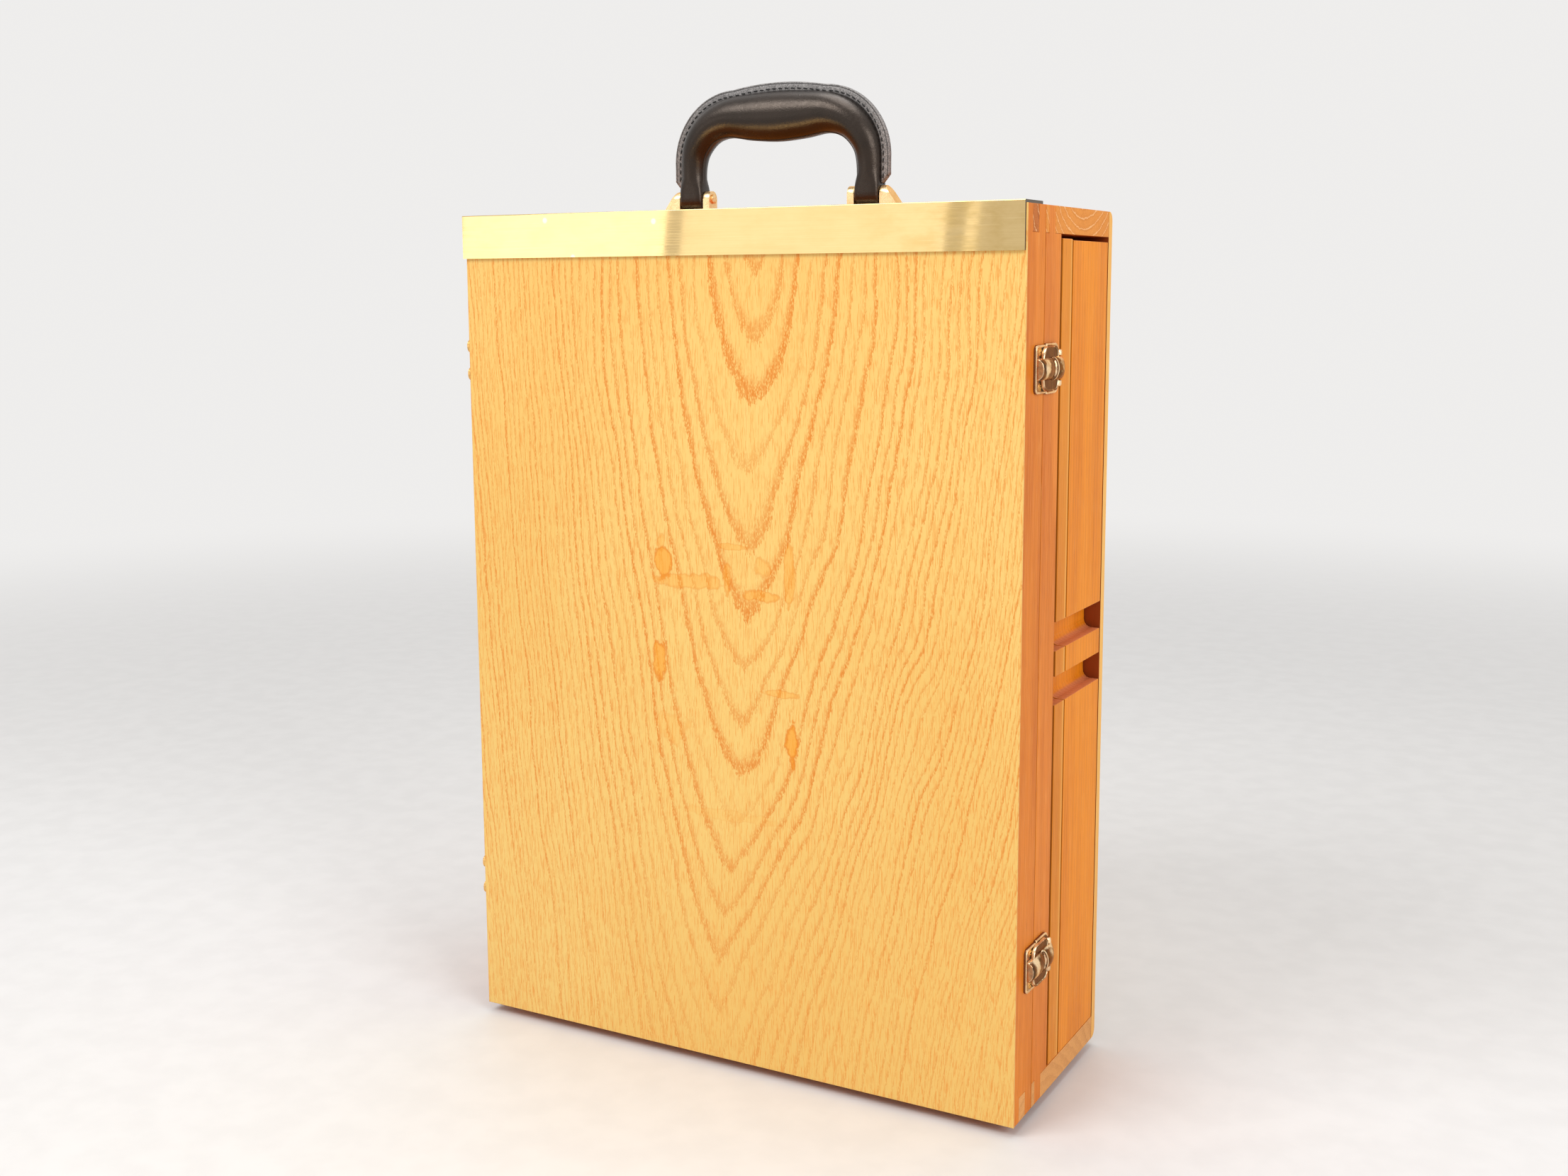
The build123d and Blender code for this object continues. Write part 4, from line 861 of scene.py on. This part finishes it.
def barrel(mid_z):
    """Shell that is open towards the box."""
    rings = []
    for y, crest, half in BARREL:
        foot = SKIRT if y < RAISED_FROM else RAISED
        outer = half_round(y, foot, crest, half, mid_z)
        inner = half_round(y, foot, max(crest - WALL, foot + LEAST_ROOM), half - WALL, mid_z)
        rings.append(outer + inner[::-1])
    return rings


def lug(mid_z, way):
    """Ear that holds the lever's pin, above the barrel (way 1) or below it (way -1)."""
    return [[(RIGHT_X + x + (LUG_POINT[0] - x) * shrink / 2, y + (LUG_POINT[1] - y) * shrink / 3, mid_z + way * z)
             for x, y in LUG] for z, shrink in LUG_SLICES]


def cast(name, forms, material, body):
    """Brass casting whose sharp edges stay crisp."""
    obj = piece(name, forms, material, body)
    obj.modifiers.new("crisp", "EDGE_SPLIT").split_angle = radians(50)
    return obj


for level, mid_z in LATCH_Z.items():
    cap = [half_round(y, SKIRT, CAP_CREST - shrink, CAP_HALF - shrink, mid_z) for y, shrink in CAP_ROWS]
    tabs = [rimmed(tab, TAB_LAYERS, mid_z) for tab in (UPPER_TAB, LOWER_TAB)]
    lever = cast(f"latch_lever_{level}_cast", [barrel(mid_z), cap, *tabs], brass_lever, f"{level}_latch")
    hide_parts(f"latch_lever_{level}")
    plate = rimmed(BASE_PLATE, PLATE_LAYERS, mid_z)
    base = cast(f"latch_base_{level}_cast", [plate, lug(mid_z, -1), lug(mid_z, 1)], brass_plate, "case")
    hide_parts(f"latch_base_{level}", "latch_pins")
    keeper = cast(f"latch_keeper_{level}_cast", [rimmed(KEEPER_PLATE, PLATE_LAYERS, mid_z)], brass_plate, "lid")
    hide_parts(f"latch_keeper_{level}")

# ------------------------ screw heads
HEAD_RINGS, HEAD_AROUND = 14, 40
HEAD_EDGE, HEAD_SUNK = 0.06, -0.05  # height of the rim over its seat, and of a last ring hidden in it
# Half length and half width of a cross's arm and half width of a slot, as shares of the head's radius
CROSS_LONG, CROSS_WIDE, SLOT_WIDE = 0.62, 0.13, 0.17
CROSS_DEPTH, SLOT_DEPTH = 0.55, 0.45


def recess_depth(recess, p, q):
    """Depth of a cross or a slot at the distances p and q from its middle lines."""
    if recess == "cross":
        arm = min(max(p / CROSS_LONG, q / CROSS_WIDE), max(q / CROSS_LONG, p / CROSS_WIDE))
        return CROSS_DEPTH * smooth_step((1.15 - arm) / 0.35)
    return SLOT_DEPTH * smooth_step((SLOT_WIDE - p) / 0.06)


def screw_heads(name, body, material, places, facing, diameter, recess="cross", dome=0.35):
    """Low domed heads with a cross or a slot, each on its seat, facing along an axis."""
    out = Vector(facing)
    side = Vector((0, 0, 1)) if abs(out.z) < 0.5 else Vector((1, 0, 0))
    up = out.cross(side)
    heads = []
    for n, place in enumerate(places):
        turn = radians(17 + 61 * n)  # no two heads of a row stop at the same angle
        rings = []
        for r in range(HEAD_RINGS + 1):
            share = min(r / (HEAD_RINGS - 1), 1.0)
            ring = []
            for k in range(HEAD_AROUND):
                a = 2 * pi * k / HEAD_AROUND
                u, v = share * cos(a), share * sin(a)
                p, q = abs(u * cos(turn) + v * sin(turn)), abs(v * cos(turn) - u * sin(turn))
                height = dome * (1 - share**2) + HEAD_EDGE - recess_depth(recess, p, q)
                if r == HEAD_RINGS:
                    height = HEAD_SUNK
                ring.append(Vector(place) + (side * u + up * v) * diameter / 2 + out * height)
            rings.append(ring)
        heads.append(rings)
    piece(name, heads, material, body, capped=False)


def at_latches(x, y, spread):
    """Places at the height of each latch, which is the height of the hinges too."""
    return [(x, y, z + dz) for z in LATCH_Z.values() for dz in spread]


PLATE_FLOOR = RIGHT_X + PLATE_LAYERS[-1][1]
HINGE_LEAF = -RIGHT_X - 1.6  # outer face of the leaves
RIGHT, LEFT, UP, DOWN = (1, 0, 0), (-1, 0, 0), (0, 0, 1), (0, 0, -1)

screw_heads("keeper_screw_heads", "lid", brass_latch,
            at_latches(PLATE_FLOOR, -48.4, (-9.2, 8.8)), RIGHT, 4.7)
screw_heads("base_screw_heads", "case", brass_latch,
            at_latches(PLATE_FLOOR, -32.3, (-9.4, 9.4)), RIGHT, 4.2)
screw_heads("hinge_lid_screw_heads", "lid", brass_latch,
            at_latches(HINGE_LEAF, -62.6, (-8.4, 8.4)) + at_latches(HINGE_LEAF, -49.6, (0,)), LEFT, 4.8)
screw_heads("hinge_case_screw_heads", "case", brass_latch,
            at_latches(HINGE_LEAF, -19.2, (-8.4, 8.4)) + at_latches(HINGE_LEAF, -32.2, (0,)), LEFT, 4.8)
screw_heads("mount_screw_heads", "case", brass_mount,
            [(s * HALF_PITCH, y, TOP_Z + 3.0) for s in (-1, 1) for y in (-5.2, 5.2)], UP, 5.2, dome=0.2)
for s, way, facing in ((-1, "left", RIGHT), (1, "right", LEFT)):
    screw_heads(f"pivot_head_{way}", "case", brass_mount,
                [(s * (HALF_PITCH - 13.4), 0, PIVOT_Z)], facing, 5.2, "slot")
screw_heads("foot_screw_heads", "case", steel,
            [(s * 143, y, 3.4) for s in (-1, 1) for y in (-22, 48)], DOWN, 6.6, dome=0.5)

# ------------------------ camera, in metres
CAMERA_AT = Vector((0.4936, -0.9000, 0.4585))
CAMERA_TURN, CAMERA_DOWN, CAMERA_ROLL = radians(28.81), radians(8.23), radians(-0.27)
IMAGE_W, IMAGE_H = 2212, 1659
FOCAL_PX = 2430.9
CENTRE_PX = (1100.1, 759.0)  # where the camera's axis meets the picture
SENSOR_W = 36.0

camera_data = bpy.data.cameras.new("camera")
camera = bpy.data.objects.new("camera", camera_data)
bpy.context.scene.collection.objects.link(camera)
ahead = Vector((-sin(CAMERA_TURN) * cos(CAMERA_DOWN), cos(CAMERA_TURN) * cos(CAMERA_DOWN), -sin(CAMERA_DOWN)))
level_right = Vector((cos(CAMERA_TURN), sin(CAMERA_TURN), 0))
level_up = level_right.cross(ahead)
side_dir = level_right * cos(CAMERA_ROLL) + level_up * sin(CAMERA_ROLL)
up_dir = level_up * cos(CAMERA_ROLL) - level_right * sin(CAMERA_ROLL)
rotation = Matrix((side_dir, up_dir, -ahead)).transposed()
camera.matrix_world = Matrix.Translation(CAMERA_AT) @ rotation.to_4x4()
camera_data.sensor_width = SENSOR_W
camera_data.lens = FOCAL_PX / IMAGE_W * SENSOR_W
camera_data.shift_x = (IMAGE_W / 2 - CENTRE_PX[0]) / IMAGE_W
camera_data.shift_y = (CENTRE_PX[1] - IMAGE_H / 2) / IMAGE_W
bpy.context.scene.camera = camera

# ------------------------ floor, world and lamps, in metres
BACKDROP = (0.86, 0.85, 0.84, 1.0)
FLOOR_R, FADE_FROM, FADE_TO = 14.0, 0.75, 2.6  # the floor passes into the backdrop's colour
FLOOR_TONES = (0.72, 0.71, 0.70, 1), (0.75, 0.74, 0.73, 1)
WORLD_TONE, WORLD_LIGHT = (1.0, 0.99, 0.98, 1), 0.42


def stage_floor():
    """Pale floor that fades into the backdrop away from the box."""
    bpy.ops.mesh.primitive_circle_add(vertices=96, radius=FLOOR_R, fill_type="NGON", location=(0, 0, 0))
    floor = bpy.context.object
    floor.name = "floor"
    m = Mat("floor_pale")
    x, y, _ = m.split(m.coords())
    fade = m.span(m.length(x, y), FADE_FROM, FADE_TO)
    speck = m.noise(m.coords(), 40, 3.0)
    m.finish(m.mix(m.span(speck, 0.3, 0.7), *FLOOR_TONES), 0.55)
    glow = m.node("Emission", {"Color": BACKDROP})
    blend = m.node("MixShader", {0: fade, 1: m.bsdf.outputs[0], 2: glow.outputs[0]})
    m.put(m.nt.nodes["Material Output"].inputs["Surface"], blend.outputs[0])
    floor.data.materials.append(m.mat)


def light_world():
    """Dim even light from all round; the camera and shiny surfaces see the pale backdrop."""
    world = bpy.data.worlds.new("studio")
    bpy.context.scene.world = world
    world.use_nodes = True
    nt = world.node_tree
    lit = nt.nodes["Background"]
    lit.inputs["Color"].default_value = WORLD_TONE
    lit.inputs["Strength"].default_value = WORLD_LIGHT
    seen = nt.nodes.new("ShaderNodeBackground")
    seen.inputs["Color"].default_value = BACKDROP
    path = nt.nodes.new("ShaderNodeLightPath")
    either = path.outputs["Is Camera Ray"]
    for kind in ("Is Glossy Ray", "Is Transmission Ray"):
        largest = nt.nodes.new("ShaderNodeMath")
        largest.operation = "MAXIMUM"
        nt.links.new(either, largest.inputs[0])
        nt.links.new(path.outputs[kind], largest.inputs[1])
        either = largest.outputs[0]
    blend = nt.nodes.new("ShaderNodeMixShader")
    nt.links.new(either, blend.inputs[0])
    nt.links.new(lit.outputs[0], blend.inputs[1])
    nt.links.new(seen.outputs[0], blend.inputs[2])
    nt.links.new(blend.outputs[0], nt.nodes["World Output"].inputs["Surface"])


def area_lamp(name, at, toward, size, power):
    """Rectangular lamp of a size in metres and a power in watts, facing a point."""
    data = bpy.data.lights.new(name, "AREA")
    data.shape = "RECTANGLE"
    data.size, data.size_y = size
    data.energy = power
    lamp = bpy.data.objects.new(name, data)
    bpy.context.scene.collection.objects.link(lamp)
    lamp.location = at
    lamp.rotation_euler = (Vector(toward) - Vector(at)).to_track_quat("-Z", "Y").to_euler()
    return lamp


stage_floor()
light_world()
MIDDLE = (0, 0, 0.27)
area_lamp("key", (-0.8, -1.5, 2.0), MIDDLE, (1.3, 1.0), 30)
area_lamp("fill", (1.8, -0.9, 1.15), (0, 0, 0.33), (1.0, 1.2), 19)
area_lamp("top", (0.1, 0.1, 2.2), MIDDLE, (1.6, 1.0), 20)

# Weak soft boxes in front of the box, which show as pale bands in the polished brass.
# Each has the X of its middle, its width and its glow (radiance).
SOFT_BOXES = [(-1.80, 0.55, 1.35), (-1.18, 0.60, 0.65), (-1.316, 0.085, 0.60), (-0.907, 0.068, 0.80),
              (-0.818, 0.026, 0.60)]
SOFT_BOX_Y, SOFT_BOX_Z, SOFT_BOX_HEIGHT, SOFT_BOX_LEAN = -2.4, 0.56, 0.6, radians(-7)
for n, (middle, width, glow) in enumerate(SOFT_BOXES):
    box = area_lamp(f"soft_box_{n + 1}", (middle, SOFT_BOX_Y, SOFT_BOX_Z), (middle, 0, SOFT_BOX_Z),
                    (width, SOFT_BOX_HEIGHT), glow * pi * width * SOFT_BOX_HEIGHT)
    box.rotation_euler.rotate_axis("Z", SOFT_BOX_LEAN)
    box.visible_camera = False

bpy.context.scene.view_settings.view_transform = "Standard"
